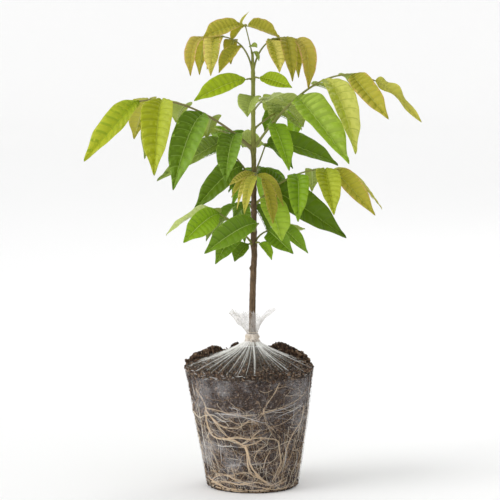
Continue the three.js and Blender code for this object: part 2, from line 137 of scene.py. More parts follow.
@dataclass
class Skin:
    """Points and faces gathered for one piece, with the finish of each face."""

    points: list[Array] = field(default_factory=list)
    faces: list[Array] = field(default_factory=list)
    finishes: list[Array] = field(default_factory=list)
    count: int = 0

    def add(self, points: Array, faces: Array, finish: Array | int = 0) -> None:
        """Adds faces over their own points.

        Args:
            points: Places in millimetres, one row each.
            faces: Rows of point numbers, all rows of one length.
            finish: Number of the finish, for all faces or for each.
        """
        self.points.append(points.reshape(-1, 3))
        self.faces.append(faces + self.count)
        self.finishes.append(np.broadcast_to(np.asarray(finish), (len(faces),)))
        self.count += len(self.points[-1])

    def add_grid(self, grid: Array, finish: Array | int = 0, closed: bool = False) -> None:
        """Adds a sheet of four-sided faces.

        Args:
            grid: Places as rows by columns by three.
            finish: Number of the finish, for all faces or for each, row by row.
            closed: True where the last column joins the first.
        """
        rows, columns = grid.shape[:2]
        order = np.arange(rows * columns).reshape(rows, columns)
        if closed:
            order = np.concatenate([order, order[:, :1]], axis=1)
        low, high = order[:-1], order[1:]
        faces = np.stack([low[:, :-1], low[:, 1:], high[:, 1:], high[:, :-1]], axis=-1)
        self.add(grid, faces.reshape(-1, 4), finish)

    def add_tube(self, line: Array, radii: Array, sides: int = 6, finish: int = 0) -> None:
        """Adds a round tube with pointed ends.

        Args:
            line: Places along its middle, one row each.
            radii: Radius at each place.
            sides: Number of flats round it.
            finish: Number of the finish.
        """
        along = unit(np.gradient(line, axis=0))
        side = unit(np.cross(along, UP if abs(along[:, 2]).mean() < 0.8 else TOWARDS_VIEWER))
        over = np.cross(side, along)
        turn = whole_turn(sides)[None, :, None]
        ring = side[:, None] * np.cos(turn) + over[:, None] * np.sin(turn)
        grid = line[:, None] + ring * radii[:, None, None]
        tips = [line[0] - along[0] * radii[0] * 0.5, line[-1] + along[-1] * radii[-1] * 0.5]
        self.add_grid(grid, finish, closed=True)
        first = self.count - grid.shape[0] * sides
        turns = np.arange(sides)
        onward = (turns + 1) % sides
        for tip, row, flip in ((tips[0], 0, True), (tips[1], len(line) - 1, False)):
            base = first + row * sides
            pair = (onward, turns) if flip else (turns, onward)
            faces = np.stack([base + pair[0], base + pair[1], np.full(sides, self.count)], axis=-1)
            self.points.append(tip[None])
            self.faces.append(faces)
            self.finishes.append(np.full(sides, finish))
            self.count += 1

    def add_cap(self, ring: Array, below: bool, hub: Sequence[float] | None = None) -> None:
        """Closes a ring of places with triangles.

        Args:
            ring: Places round the opening, one row each.
            below: True where the cap faces down.
            hub: Place where the triangles meet, or nothing for the ring's middle.
        """
        count = len(ring)
        turns = np.arange(count)
        onward = (turns + 1) % count
        pair = (onward, turns) if below else (turns, onward)
        middle = ring.mean(axis=0) if hub is None else np.array(hub)
        faces = np.stack([*pair, np.full(count, count)], axis=-1)
        self.add(np.concatenate([ring, middle[None]]), faces)

    def piece(
        self,
        name: str,
        materials: Sequence[bpy.types.Material],
        smooth: bool = True,
    ) -> bpy.types.Object:
        """Makes the Blender object.

        Args:
            name: Name of the piece.
            materials: One material for each finish number.
            smooth: True where the faces shade as one surface.

        Returns:
            The new object, linked to the scene.
        """
        mesh = bpy.data.meshes.new(name)
        points = np.concatenate(self.points) * MM
        corners = np.concatenate([f.ravel() for f in self.faces])
        sizes = np.concatenate([np.full(len(f), f.shape[1]) for f in self.faces])
        starts = np.concatenate([[0], np.cumsum(sizes)[:-1]])
        mesh.vertices.add(len(points))
        mesh.vertices.foreach_set("co", points.ravel())
        mesh.loops.add(len(corners))
        mesh.loops.foreach_set("vertex_index", corners.astype(np.int32))
        mesh.polygons.add(len(sizes))
        mesh.polygons.foreach_set("loop_start", starts.astype(np.int32))
        for material in materials:
            mesh.materials.append(material)
        mesh.polygons.foreach_set("material_index", np.concatenate(self.finishes).astype(np.int32))
        mesh.polygons.foreach_set("use_smooth", np.full(len(sizes), smooth))
        mesh.update(calc_edges=True)
        mesh.validate()
        piece = bpy.data.objects.new(name, mesh)
        bpy.context.scene.collection.objects.link(piece)
        return piece


def mount(piece: bpy.types.Object, nodes: Sequence[str] = ()) -> None:
    """Fixes a piece to the plant and reports it.

    Args:
        piece: The piece to fix.
        nodes: CAD nodes that it stands for.
    """
    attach(piece, BODY)
    if nodes:
        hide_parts(*nodes)
    LOG.info("%s: %d triangles", piece.name, len(piece.data.loops) - 2 * len(piece.data.polygons))


# Finishes


class Nodes:
    """Short hand for building one material's node tree."""

    def __init__(self, name: str) -> None:
        """Starts an empty material of that name.

        Args:
            name: Name of the material.
        """
        self.material = bpy.data.materials.new(name)
        self.material.use_nodes = True
        self.tree = self.material.node_tree
        self.tree.nodes.clear()

    def add(
        self,
        kind: str,
        values: dict[str, object] | None = None,
        **settings: object,
    ) -> bpy.types.Node:
        """Adds a node.

        Args:
            kind: Its type name, without the leading ShaderNode.
            values: Values for its input sockets by name.
            **settings: Values for its own settings.

        Returns:
            The new node.
        """
        node = self.tree.nodes.new(f"ShaderNode{kind}")
        for key, value in settings.items():
            setattr(node, key, value)
        for key, value in (values or {}).items():
            node.inputs[key].default_value = value
        return node

    def link(self, source: Socket, target: Socket) -> None:
        """Joins two sockets."""
        self.tree.links.new(source, target)

    def noise(self, scale: float, detail: float = 4.0, roughness: float = 0.6) -> Socket:
        """Noise over the object's own coordinates.

        Args:
            scale: Grains in a metre.
            detail: Number of finer layers.
            roughness: Strength of the finer layers.

        Returns:
            The socket that gives the noise, from nought to one.
        """
        place = self.add("TexCoord")
        made = self.add("TexNoise", {"Scale": scale, "Detail": detail, "Roughness": roughness})
        self.link(place.outputs["Object"], made.inputs["Vector"])
        return made.outputs["Fac"]

    def spread(
        self,
        source: Socket,
        low: float,
        high: float,
        start: float = 0.3,
        stop: float = 0.7,
    ) -> Socket:
        """Stretches a pattern to other values.

        Args:
            source: The pattern.
            low: Value given at start.
            high: Value given at stop.
            start: Value of the pattern where the change starts.
            stop: Value where it ends.

        Returns:
            The socket that gives the new value.
        """
        values = {"From Min": start, "From Max": stop, "To Min": low, "To Max": high}
        made = self.add("MapRange", values)
        self.link(source, made.inputs["Value"])
        return made.outputs["Result"]

    def ramp(self, source: Socket, stops: Sequence[tuple[float, Colour]]) -> Socket:
        """Colours a pattern.

        Args:
            source: The pattern.
            stops: Pairs of a value of the pattern and its linear colour.

        Returns:
            The colour socket.
        """
        made = self.add("ValToRGB")
        bar = made.color_ramp
        while len(bar.elements) < len(stops):
            bar.elements.new(0.5)
        for element, (place, colour) in zip(bar.elements, stops):
            element.position = place
            element.color = (*colour, 1.0)
        self.link(source, made.inputs["Fac"])
        return made.outputs["Color"]

    def bump(self, source: Socket, depth: float, strength: float = 0.6) -> Socket:
        """Makes relief from a pattern.

        Args:
            source: The pattern.
            depth: Depth in metres.
            strength: Share of the relief that shows.

        Returns:
            The socket that gives the direction of the surface.
        """
        made = self.add("Bump", {"Strength": strength, "Distance": depth})
        self.link(source, made.inputs["Height"])
        return made.outputs["Normal"]

    def solid(
        self,
        colour: Colour | Socket,
        gloss: Socket,
        relief: Socket,
        specular: float,
    ) -> bpy.types.Node:
        """Adds the main shader.

        Args:
            colour: One plain colour, or the socket that gives it.
            gloss: Socket that gives the roughness.
            relief: Socket that gives the fine relief.
            specular: Strength of its reflections.

        Returns:
            The shader's node.
        """
        made = self.add("BsdfPrincipled", {"Specular IOR Level": specular})
        if isinstance(colour, tuple):
            made.inputs["Base Color"].default_value = (*colour, 1)
        else:
            self.link(colour, made.inputs["Base Color"])
        self.link(gloss, made.inputs["Roughness"])
        self.link(relief, made.inputs["Normal"])
        return made

    def blend(self, first: bpy.types.Node, second: bpy.types.Node, share: float) -> bpy.types.Node:
        """Mixes two shaders.

        Args:
            first: The first shader.
            second: The second shader.
            share: Share of the second.

        Returns:
            The node that mixes them.
        """
        mixed = self.add("MixShader", {"Fac": share})
        self.link(first.outputs["BSDF"], mixed.inputs[1])
        self.link(second.outputs["BSDF"], mixed.inputs[2])
        return mixed

    def finish(self, shader: bpy.types.Node, output: str = "BSDF") -> bpy.types.Material:
        """Joins the last shader to the surface and returns the material."""
        self.link(shader.outputs[output], self.add("OutputMaterial").inputs["Surface"])
        return self.material


@dataclass(frozen=True)
class Blade:
    """Finish of a leaf blade in one plain colour: soft gloss, fine relief and light that shines through."""

    name: str
    colour: Colour
    gloss: tuple[float, float] = (0.34, 0.54)
    relief: float = 0.00012
    specular: float = 0.26
    glow: float = 0.36
    warmth: Colour = (1.15, 1.15, 0.6)

    def material(self) -> bpy.types.Material:
        """Makes the material, or finds it if another leaf has it.

        Returns:
            The material.
        """
        name = f"leaf_{self.name}"
        if name in bpy.data.materials:
            return bpy.data.materials[name]
        nodes = Nodes(name)
        relief = nodes.bump(nodes.noise(1500, 3.0), self.relief)
        gloss = nodes.spread(nodes.noise(420), *self.gloss)
        solid = nodes.solid(self.colour, gloss, relief, self.specular)
        shining = tuple(a * b for a, b in zip(self.warmth, self.colour))
        lit = nodes.add("BsdfTranslucent", {"Color": (*shining, 1)})
        nodes.link(relief, lit.inputs["Normal"])
        return nodes.finish(nodes.blend(solid, lit, self.glow), "Shader")


class Tint(Enum):
    """Plain linear colours of stalks."""

    STALK = (0.220, 0.230, 0.045)
    STALK_DARK = (0.215, 0.180, 0.060)


@dataclass(frozen=True)
class Stalk:
    """Finish of ribs and stalks: smooth and slightly waxy."""

    tint: Tint
    gloss: tuple[float, float] = (0.42, 0.62)
    relief: float = 0.0001
    specular: float = 0.5

    def material(self) -> bpy.types.Material:
        """Makes the material, or finds it if another leaf has it.

        Returns:
            The material.
        """
        name = f"stalk_{self.tint.name.lower()}"
        if name in bpy.data.materials:
            return bpy.data.materials[name]
        nodes = Nodes(name)
        gloss = nodes.spread(nodes.noise(700), *self.gloss)
        relief = nodes.bump(nodes.noise(1800, 2.0), self.relief)
        return nodes.finish(nodes.solid(self.tint.value, gloss, relief, self.specular))


@dataclass(frozen=True)
class Bark:
    """Finish of the stem: brown with fine fissures below, green and smoother above."""

    brown_to: float = 0.380
    green_from: float = 0.450
    brown: tuple[tuple[float, Colour], ...] = (
        (0.30, (0.042, 0.025, 0.012)),
        (0.50, (0.108, 0.066, 0.032)),
        (0.72, (0.235, 0.155, 0.088)),
    )
    green: tuple[tuple[float, Colour], ...] = (
        (0.25, (0.135, 0.145, 0.030)),
        (0.55, (0.270, 0.290, 0.060)),
        (0.80, (0.440, 0.460, 0.150)),
    )
    drawn_out: float = 0.16
    gloss: tuple[float, float] = (0.62, 0.85)
    relief: float = 0.0005
    specular: float = 0.3

    def material(self) -> bpy.types.Material:
        """Makes the material.

        Returns:
            The material.
        """
        nodes = Nodes("stem_bark")
        place = nodes.add("TexCoord")
        stretch = nodes.add("Mapping", {"Scale": (1.0, 1.0, self.drawn_out)})
        nodes.link(place.outputs["Object"], stretch.inputs["Vector"])
        noisy = nodes.add("TexNoise", {"Scale": 900.0, "Detail": 5.0, "Roughness": 0.65})
        nodes.link(stretch.outputs["Vector"], noisy.inputs["Vector"])
        streak = noisy.outputs["Fac"]
        height = nodes.add("SeparateXYZ")
        nodes.link(place.outputs["Object"], height.inputs["Vector"])
        blend = nodes.add("Mix", data_type="RGBA")
        turning = nodes.spread(height.outputs["Z"], 0.0, 1.0, self.brown_to, self.green_from)
        nodes.link(turning, blend.inputs["Factor"])
        nodes.link(nodes.ramp(streak, self.brown), blend.inputs["A"])
        nodes.link(nodes.ramp(streak, self.green), blend.inputs["B"])
        gloss = nodes.spread(streak, *self.gloss)
        relief = nodes.bump(streak, self.relief, 0.8)
        return nodes.finish(nodes.solid(blend.outputs["Result"], gloss, relief, self.specular))


@dataclass(frozen=True)
class Soil:
    """Finish of moist crumbly potting soil."""

    name: str
    dark: Colour
    middle: Colour
    light: Colour
    gloss: tuple[float, float] = (0.75, 0.95)
    relief: float = 0.0015
    specular: float = 0.22

    def material(self) -> bpy.types.Material:
        """Makes the material.

        Returns:
            The material.
        """
        nodes = Nodes(self.name)
        specks = nodes.noise(520, 6.0, 0.75)
        colour = nodes.ramp(specks, [(0.36, self.dark), (0.52, self.middle), (0.70, self.light)])
        gloss = nodes.spread(specks, *self.gloss)
        relief = nodes.bump(specks, self.relief, 1.0)
        return nodes.finish(nodes.solid(colour, gloss, relief, self.specular))


@dataclass(frozen=True)
class Fibre:
    """Finish of roots, crumbs and string in one plain colour."""

    name: str
    colour: Colour
    pitch: float = 900.0
    gloss: tuple[float, float] = (0.6, 0.9)
    relief: float = 0.0003
    specular: float = 0.25

    def material(self) -> bpy.types.Material:
        """Makes the material.

        Returns:
            The material.
        """
        nodes = Nodes(self.name)
        gloss = nodes.spread(nodes.noise(self.pitch), *self.gloss)
        relief = nodes.bump(nodes.noise(2 * self.pitch, 3.0), self.relief)
        return nodes.finish(nodes.solid(self.colour, gloss, relief, self.specular))


@dataclass(frozen=True)
class Film:
    """Finish of clear film in grades, from a hardly seen veil to the white of creases with their painted
    highlights, dealt out face by face.
    """

    name: str
    thin: Colour
    dense: Colour
    grades: tuple[float, ...] = (0.03, 0.09, 0.17, 0.29, 0.46, 0.74)
    pitch: float = 140.0
    gloss: tuple[float, float] = (0.24, 0.44)
    relief: float = 0.0008
    specular: float = 0.8
    clear: float = 0.97

    def materials(self) -> list[bpy.types.Material]:
        """Makes the material of each grade.

        Returns:
            The materials, from the clearest to the densest.
        """
        made = []
        for number, veil in enumerate(self.grades):
            share = number / (len(self.grades) - 1)
            colour = tuple(a + (b - a) * share for a, b in zip(self.thin, self.dense))
            nodes = Nodes(f"{self.name}_{number}")
            gloss = nodes.spread(nodes.noise(self.pitch), *self.gloss)
            relief = nodes.bump(nodes.noise(4 * self.pitch, 4.0), self.relief, 0.7)
            solid = nodes.solid(colour, gloss, relief, self.specular)
            clear = nodes.add("BsdfTransparent", {"Color": (self.clear, self.clear, self.clear, 1)})
            made.append(nodes.finish(nodes.blend(clear, solid, veil), "Shader"))
        return made

    def deal(self, density: Array, chance: np.random.Generator) -> Array:
        """Deals out to each face one of the two grades nearest its density.

        Args:
            density: How white the film is at each face.
            chance: Source of the mixing.

        Returns:
            The number of each face's grade, row by row.
        """
        place = np.interp(density, self.grades, np.arange(len(self.grades)))
        dealt = (place + chance.random(place.shape)).astype(int)
        return dealt.clip(0, len(self.grades) - 1).ravel()


# Leaves


STEPS = 5


@dataclass(frozen=True)
class Palette:
    """Linear colours of one kind of leaflet."""

    base: Colour
    tip: Colour
    edge: Colour
    rib: Colour
    rim: float = 0.95


class Tone(Enum):
    """Kinds of leaflet by age and light, from dark full-grown blades to bronze young ones."""

    DARK = Palette(
        (0.089, 0.163, 0.004), (0.101, 0.177, 0.007), (0.132, 0.209, 0.022), (0.231, 0.341, 0.066),
    )
    FOREST = Palette(
        (0.114, 0.198, 0.01), (0.126, 0.216, 0.012), (0.18, 0.276, 0.036), (0.312, 0.444, 0.108),
    )
    MEADOW = Palette(
        (0.132, 0.24, 0.012), (0.156, 0.27, 0.017), (0.24, 0.36, 0.048), (0.384, 0.516, 0.144),
    )
    GLADE = Palette((0.112, 0.2, 0.006), (0.215, 0.36, 0.042), (0.27, 0.42, 0.055), (0.384, 0.516, 0.144))
    LEAF = Palette((0.174, 0.3, 0.017), (0.204, 0.348, 0.024), (0.3, 0.444, 0.048), (0.432, 0.564, 0.168))
    BRIGHT = Palette(
        (0.214, 0.368, 0.015), (0.246, 0.404, 0.017), (0.317, 0.464, 0.049), (0.439, 0.586, 0.159),
    )
    FRESH = Palette((0.338, 0.512, 0.04), (0.4, 0.562, 0.062), (0.425, 0.562, 0.1), (0.525, 0.675, 0.2))
    # Painted sheen: paler at the base than at the tip, for the gloss that catches the light near the base.
    SHEEN_AT_BASE = Palette((0.425, 0.565, 0.1), (0.285, 0.44, 0.028), (0.4, 0.54, 0.09), (0.525, 0.675, 0.2))
    SPRING = Palette(
        (0.35, 0.462, 0.02), (0.35, 0.466, 0.014), (0.418, 0.517, 0.055), (0.528, 0.616, 0.132),
    )
    LIME = Palette((0.3, 0.413, 0.02), (0.438, 0.475, 0.031), (0.45, 0.488, 0.05), (0.35, 0.438, 0.037))
    CITRON = Palette((0.34, 0.385, 0.01), (0.47, 0.53, 0.055), (0.484, 0.495, 0.055), (0.44, 0.495, 0.055))
    GOLDEN = Palette(
        (0.37, 0.425, 0.036), (0.64, 0.655, 0.165), (0.582, 0.594, 0.123), (0.582, 0.627, 0.179),
    )
    STRAW = Palette(
        (0.44, 0.462, 0.066), (0.539, 0.484, 0.077), (0.594, 0.539, 0.121), (0.594, 0.594, 0.198),
    )
    HAY = Palette((0.432, 0.444, 0.084), (0.48, 0.444, 0.084), (0.564, 0.528, 0.144), (0.6, 0.588, 0.216))
    # Painted shade: darker at the base than at the tip, for the shade over the blade's inner end.
    SHADED_BASE = Palette((0.13, 0.2, 0.024), (0.235, 0.315, 0.06), (0.265, 0.355, 0.085), (0.37, 0.46, 0.14))
    MOSS = Palette(
        (0.215, 0.299, 0.058), (0.24, 0.325, 0.072), (0.312, 0.403, 0.117), (0.429, 0.533, 0.182),
    )
    PALE = Palette((0.338, 0.419, 0.1), (0.356, 0.431, 0.106), (0.438, 0.512, 0.175), (0.525, 0.6, 0.25))
    ASH = Palette((0.493, 0.566, 0.232), (0.464, 0.551, 0.189), (0.58, 0.652, 0.29), (0.652, 0.72, 0.362))
    # Painted light and shade: pale underside with painted sheen at the base, turning to painted shade at the
    # tip.
    SHEEN_TO_SHADE = Palette((0.6, 0.68, 0.33), (0.23, 0.31, 0.045), (0.44, 0.52, 0.16), (0.6, 0.68, 0.32))
    OLIVE = Palette(
        (0.29, 0.275, 0.02), (0.37, 0.33, 0.034), (0.44, 0.325, 0.085), (0.4, 0.43, 0.09), 0.88,
    )
    KHAKI = Palette(
        (0.375, 0.37, 0.034), (0.446, 0.405, 0.054), (0.55, 0.4, 0.12), (0.47, 0.51, 0.12), 0.88,
    )
    SAND = Palette((0.385, 0.38, 0.036), (0.7, 0.62, 0.16), (0.62, 0.455, 0.165), (0.5, 0.53, 0.13), 0.88)
    ROSE = Palette((0.49, 0.415, 0.09), (0.42, 0.355, 0.044), (0.58, 0.38, 0.145), (0.5, 0.5, 0.12), 0.86)

    def finishes(self) -> tuple[list[Blade], Blade, Blade, Blade, Blade]:
        """Finishes of one leaflet.

        Returns:
            Those of the blade from base to tip, and of the painted shade band before a vein, the veins, edge
            and midrib.
        """
        word, colours = self.name.lower(), self.value
        base, tip, rib = (np.array(one) for one in (colours.base, colours.tip, colours.rib))
        steps = [Blade(f"{word}_{k}", tuple(base + (tip - base) * k / (STEPS - 1))) for k in range(STEPS)]
        vein = Blade(f"{word}_vein", tuple((base + tip) * 0.43 + (rib - base) * 0.18))
        # Painted shade: a darker copy of the blade for the band before each vein, where the quilting lies in
        # shadow.
        shade = Blade(f"{word}_shade", tuple(base * 0.78 + tip * 0.09))
        return steps, shade, vein, Blade(f"{word}_edge", colours.edge), Blade(f"{word}_rib", colours.rib)


@dataclass(frozen=True)
class Leaflet:
    """One blade: where it springs from the rachis, its tip, width and colours.

    Spring is how far it reaches outwards before it droops, and lift how far upwards. Facing turns the blade
    about its midrib, in degrees. A small blunt gives a round base, and bare is the share without a blade.
    The split by halves is painted light and shade: that share of the colour goes towards the tip's colour on
    one half and the base's on the other, for the lit and shaded halves of the folded blade; the right half
    takes the tip's where the split is positive.
    """

    at: float
    tip: Place
    width: float
    tone: Tone
    spring: float = 0.3
    facing: float = 0.0
    wave: float = 0.06
    lift: float = 0.0
    blunt: float = 0.56
    bare: float = 0.035
    lit_and_shaded_halves: float = 0.0
    quilt: float = 0.19


@dataclass(frozen=True)
class BladeForm:
    """Proportions shared by all blades, and the finishes' places on them."""

    veins: int = 11
    sweep: float = 0.055
    fold: float = 0.76
    recurve: float = 0.18
    taper: float = 0.66
    drip: tuple[float, float, float] = (0.42, 0.78, 0.97)
    phases: tuple[float, ...] = (0.05, 0.25, 0.5, 0.75, 0.95)
    columns: tuple[float, ...] = (0.028, 0.13, 0.27, 0.44, 0.62, 0.80, 0.94, 1.0)
    uneven: float = 0.05
    ragged: float = 0.02
    edge_turns: tuple[float, float] = (1.6, 2.6)
    ripple: float = 0.02
    ripple_turns: float = 6.3
    bend: float = 0.10
    twist: float = 6.0
    rib_half: float = 0.028
    rib_end: float = 0.86
    vein_half: float = 0.8
    # Painted shade bands before the veins: how far across they reach and the share of faces that take them.
    painted_shade_half: float = 0.9
    painted_shade_chance: float = 0.9
    scatter: float = 0.13
    rim_scatter: float = 0.06

    def half_width(self, share: Array, leaflet: Leaflet) -> Array:
        """Works out the outline of a blade that is two wide.

        Args:
            share: Share of the blade's length.
            leaflet: The blade's own sizes.

        Returns:
            Half the width at each share, with a round base and a drawn-out tip.
        """
        x = np.clip((share - leaflet.bare) / (1 - leaflet.bare), 0.0, 1.0)
        widest = leaflet.blunt / (leaflet.blunt + self.taper)
        full = (x / widest) ** leaflet.blunt * ((1 - x) / (1 - widest)) ** self.taper
        narrowed, start, stop = self.drip
        return full * (1 - narrowed * ease(x, start, stop))

    def arc(self, base: Array, leaflet: Leaflet) -> Arc:
        """Works out the curve of the midrib.

        Args:
            base: Place on the rachis that it springs from.
            leaflet: The blade's own sizes.

        Returns:
            The curve from the base to the leaflet's tip.
        """
        tip = np.array(leaflet.tip, float)
        reach = tip - base
        outward = unit(unit(np.array([reach[0], reach[1], 0.0])) + leaflet.lift * UP)
        return Arc(base, base + outward * leaflet.spring * np.linalg.norm(reach), tip)

    def surface(self, arc: Arc, leaflet: Leaflet, seed: int) -> tuple[Array, Array, Array]:
        """Works out the blade's sheet.

        Args:
            arc: Curve of the midrib.
            leaflet: The blade's own sizes.
            seed: Number that its small irregularities come from.

        Returns:
            Places as rows by columns by three, and each row's share and each column's place across.
        """
        chance = np.random.default_rng(seed)
        veins = self.veins + int(chance.integers(-1, 2))
        steps = [k + phase for k in range(veins) for phase in self.phases]
        rows = leaflet.bare + (1 - leaflet.bare) * (np.array([0.0, *steps, veins]) / veins)
        across = np.array([-c for c in reversed(self.columns)] + list(self.columns))
        row, place = np.meshgrid(rows, across, indexing="ij")
        blade = (row - leaflet.bare) / (1 - leaflet.bare)
        fade = np.sin(np.pi * np.clip(blade, 0, 1)) ** 0.5
        share = np.clip(row + self.sweep * fade * np.abs(place) ** 1.3, 0, 1)
        lopsided = 1 + self.uneven * chance.normal() * np.sign(place)
        ragged = 1 + self.ragged * np.sin(9 * share + chance.uniform(0, 6)) * np.abs(place)
        half = self.half_width(share, leaflet) * leaflet.width / 2 * lopsided * ragged
        fold = self.fold * (0.3 + 0.7 * ease(share, 0.05, 0.35)) * np.abs(place)
        rise = half * (fold - self.recurve * place**2)
        rise = rise + self.relief(share, place, blade * veins % 1.0, leaflet, chance)
        normal = self.normal(arc, share, leaflet, chance)
        bend = self.bend * (leaflet.width / 2) * chance.normal() * np.sin(np.pi * share)
        wide = np.cross(normal, arc.along(share))
        grid = arc.point(share) + wide * (place * half + bend)[..., None] + normal * rise[..., None]
        return grid, rows, across

    def relief(
        self,
        share: Array,
        place: Array,
        phase: Array,
        leaflet: Leaflet,
        chance: np.random.Generator,
    ) -> Array:
        """Height of the quilting between the veins and of the waves along the edge.

        Args:
            share: Share of the blade's length.
            place: Place across it, from minus one to one.
            phase: Share of the way from one vein to the next.
            leaflet: The blade's own sizes.
            chance: Source of the waves' lengths and places.

        Returns:
            The height in millimetres for each place.
        """
        size, out = leaflet.width / 2, np.abs(place)
        puffed = np.sin(np.pi * phase) ** 0.8 * np.sin(np.pi * np.clip(out, 0, 1) ** 0.7) ** 0.7
        edge = size * out**2.6
        turns = chance.uniform(*self.edge_turns, 2)
        starts = chance.uniform(0, 2 * math.pi, 2)
        right, left = (np.sin(2 * np.pi * turn * share + start) for turn, start in zip(turns, starts))
        waves = np.where(place > 0, right, left) * leaflet.wave * edge * np.sin(np.pi * share) ** 0.5
        rippled = np.sin(2 * np.pi * self.ripple_turns * share + starts[1] + 2 * np.sign(place))
        return leaflet.quilt * size * puffed + waves + self.ripple * edge * rippled

    def normal(self, arc: Arc, share: Array, leaflet: Leaflet, chance: np.random.Generator) -> Array:
        """Works out the direction out of the blade's upper side.

        Args:
            arc: Curve of the midrib.
            share: Share of the blade's length.
            leaflet: The blade's own sizes.
            chance: Source of a slight twist.

        Returns:
            The direction at each share, with three values each.
        """
        bulge = arc.knee - (arc.start + arc.end) / 2
        across = unit(np.cross(arc.end - arc.start, bulge))
        across = across if across @ TOWARDS_VIEWER >= 0 else -across
        face = np.cross(across, arc.along(share))
        face = np.where((face @ bulge)[..., None] < 0, -face, face)
        turned = math.radians(leaflet.facing) + math.radians(self.twist) * chance.normal() * (share - 0.4)
        return face * np.cos(turned)[..., None] + across * np.sin(turned)[..., None]

    def rib(self, arc: Arc, leaflet: Leaflet, seed: int) -> tuple[Array, Array]:
        """Works out the raised midrib, which is also the leaflet's short stalk.

        Args:
            arc: Curve of the midrib.
            leaflet: The blade's own sizes.
            seed: Number that the blade's irregularities come from.

        Returns:
            Places along it and the radius at each.
        """
        share = np.linspace(0, self.rib_end, 20)
        normal = self.normal(arc, share, leaflet, np.random.default_rng(seed))
        radii = (0.3 + leaflet.width / 75) * (1 - share) ** 0.8 + 0.10
        return arc.point(share) - normal * (0.6 * radii)[:, None], radii

    def deal(self, leaflet: Leaflet, rows: Array, across: Array, numbers: Sequence[int], seed: int) -> Array:
        """Deals the finishes out over the faces.

        Args:
            leaflet: The blade's own sizes.
            rows: Share of the length at each row of places.
            across: Place across at each column of places.
            numbers: Numbers of the stepped finishes and of painted shade, vein, edge and rib.
            seed: Number that the scatter comes from.

        Returns:
            The number of each face's finish, row by row.
        """
        *blade, shade, vein, edge, rib = numbers
        chance = np.random.default_rng(seed)
        share, place = np.meshgrid((rows[:-1] + rows[1:]) / 2, (across[:-1] + across[1:]) / 2, indexing="ij")
        # Painted light and shade: one half of the blade is pulled towards the base colour and the other
        # towards the tip, for the shaded and lit halves of the folded blade.
        out, halved = np.abs(place), abs(leaflet.lit_and_shaded_halves)
        sided = ease(math.copysign(1.0, leaflet.lit_and_shaded_halves) * place, -0.3, 0.3)
        drift = (1 - halved) * (0.85 * share + 0.2 * out) + halved * sided
        drift = drift + chance.normal(0, self.scatter, share.shape)
        finish = np.array(blade)[np.clip((drift * len(blade)).astype(int), 0, len(blade) - 1)]
        narrow = (np.diff(rows) < 0.6 * np.median(np.diff(rows)))[:, None]
        # Painted shade: faces in the row before a vein, on the blade's darker half, mostly take the darker
        # copy.
        before = np.roll(narrow, -1, axis=0) & (sided < 0.6) & (out < self.painted_shade_half)
        finish = np.where(before & (chance.random(share.shape) < self.painted_shade_chance), shade, finish)
        finish = np.where(narrow & (out < self.vein_half), vein, finish)
        rimmed = out + self.rim_scatter * chance.normal(0, 1, share.shape) > leaflet.tone.value.rim
        return np.where(out < self.rib_half, rib, np.where(rimmed, edge, finish)).ravel()


FORM = BladeForm()


@dataclass(frozen=True)
class StalkForm:
    """Proportions shared by all stalks. The swellings at foot and joints have a height and a length."""

    slender: float = 0.84
    foot: tuple[float, float] = (0.45, 4.0)
    joint: tuple[float, float] = (0.35, 1.6)
    step: float = 3.0
    sides: int = 10

    def radii(self, gone: Array, ends: tuple[float, float], foot: float, joints: Sequence[float]) -> Array:
        """Works out the thickness along a stalk.

        Args:
            gone: Distance from the stem's middle at each place.
            ends: Radii at its two ends, before it is made slender.
            foot: Distance where it leaves the stem.
            joints: Distances where its leaflets spring.

        Returns:
            The radius at each place.
        """
        radii = self.slender * (ends[0] + (ends[1] - ends[0]) * gone / gone[-1])
        radii = radii * (1 + self.foot[0] * bell(gone - foot, self.foot[1]))
        for joint in joints:
            radii = radii * (1 + self.joint[0] * bell(gone - joint, self.joint[1]))
        return radii


STALK_FORM = StalkForm()


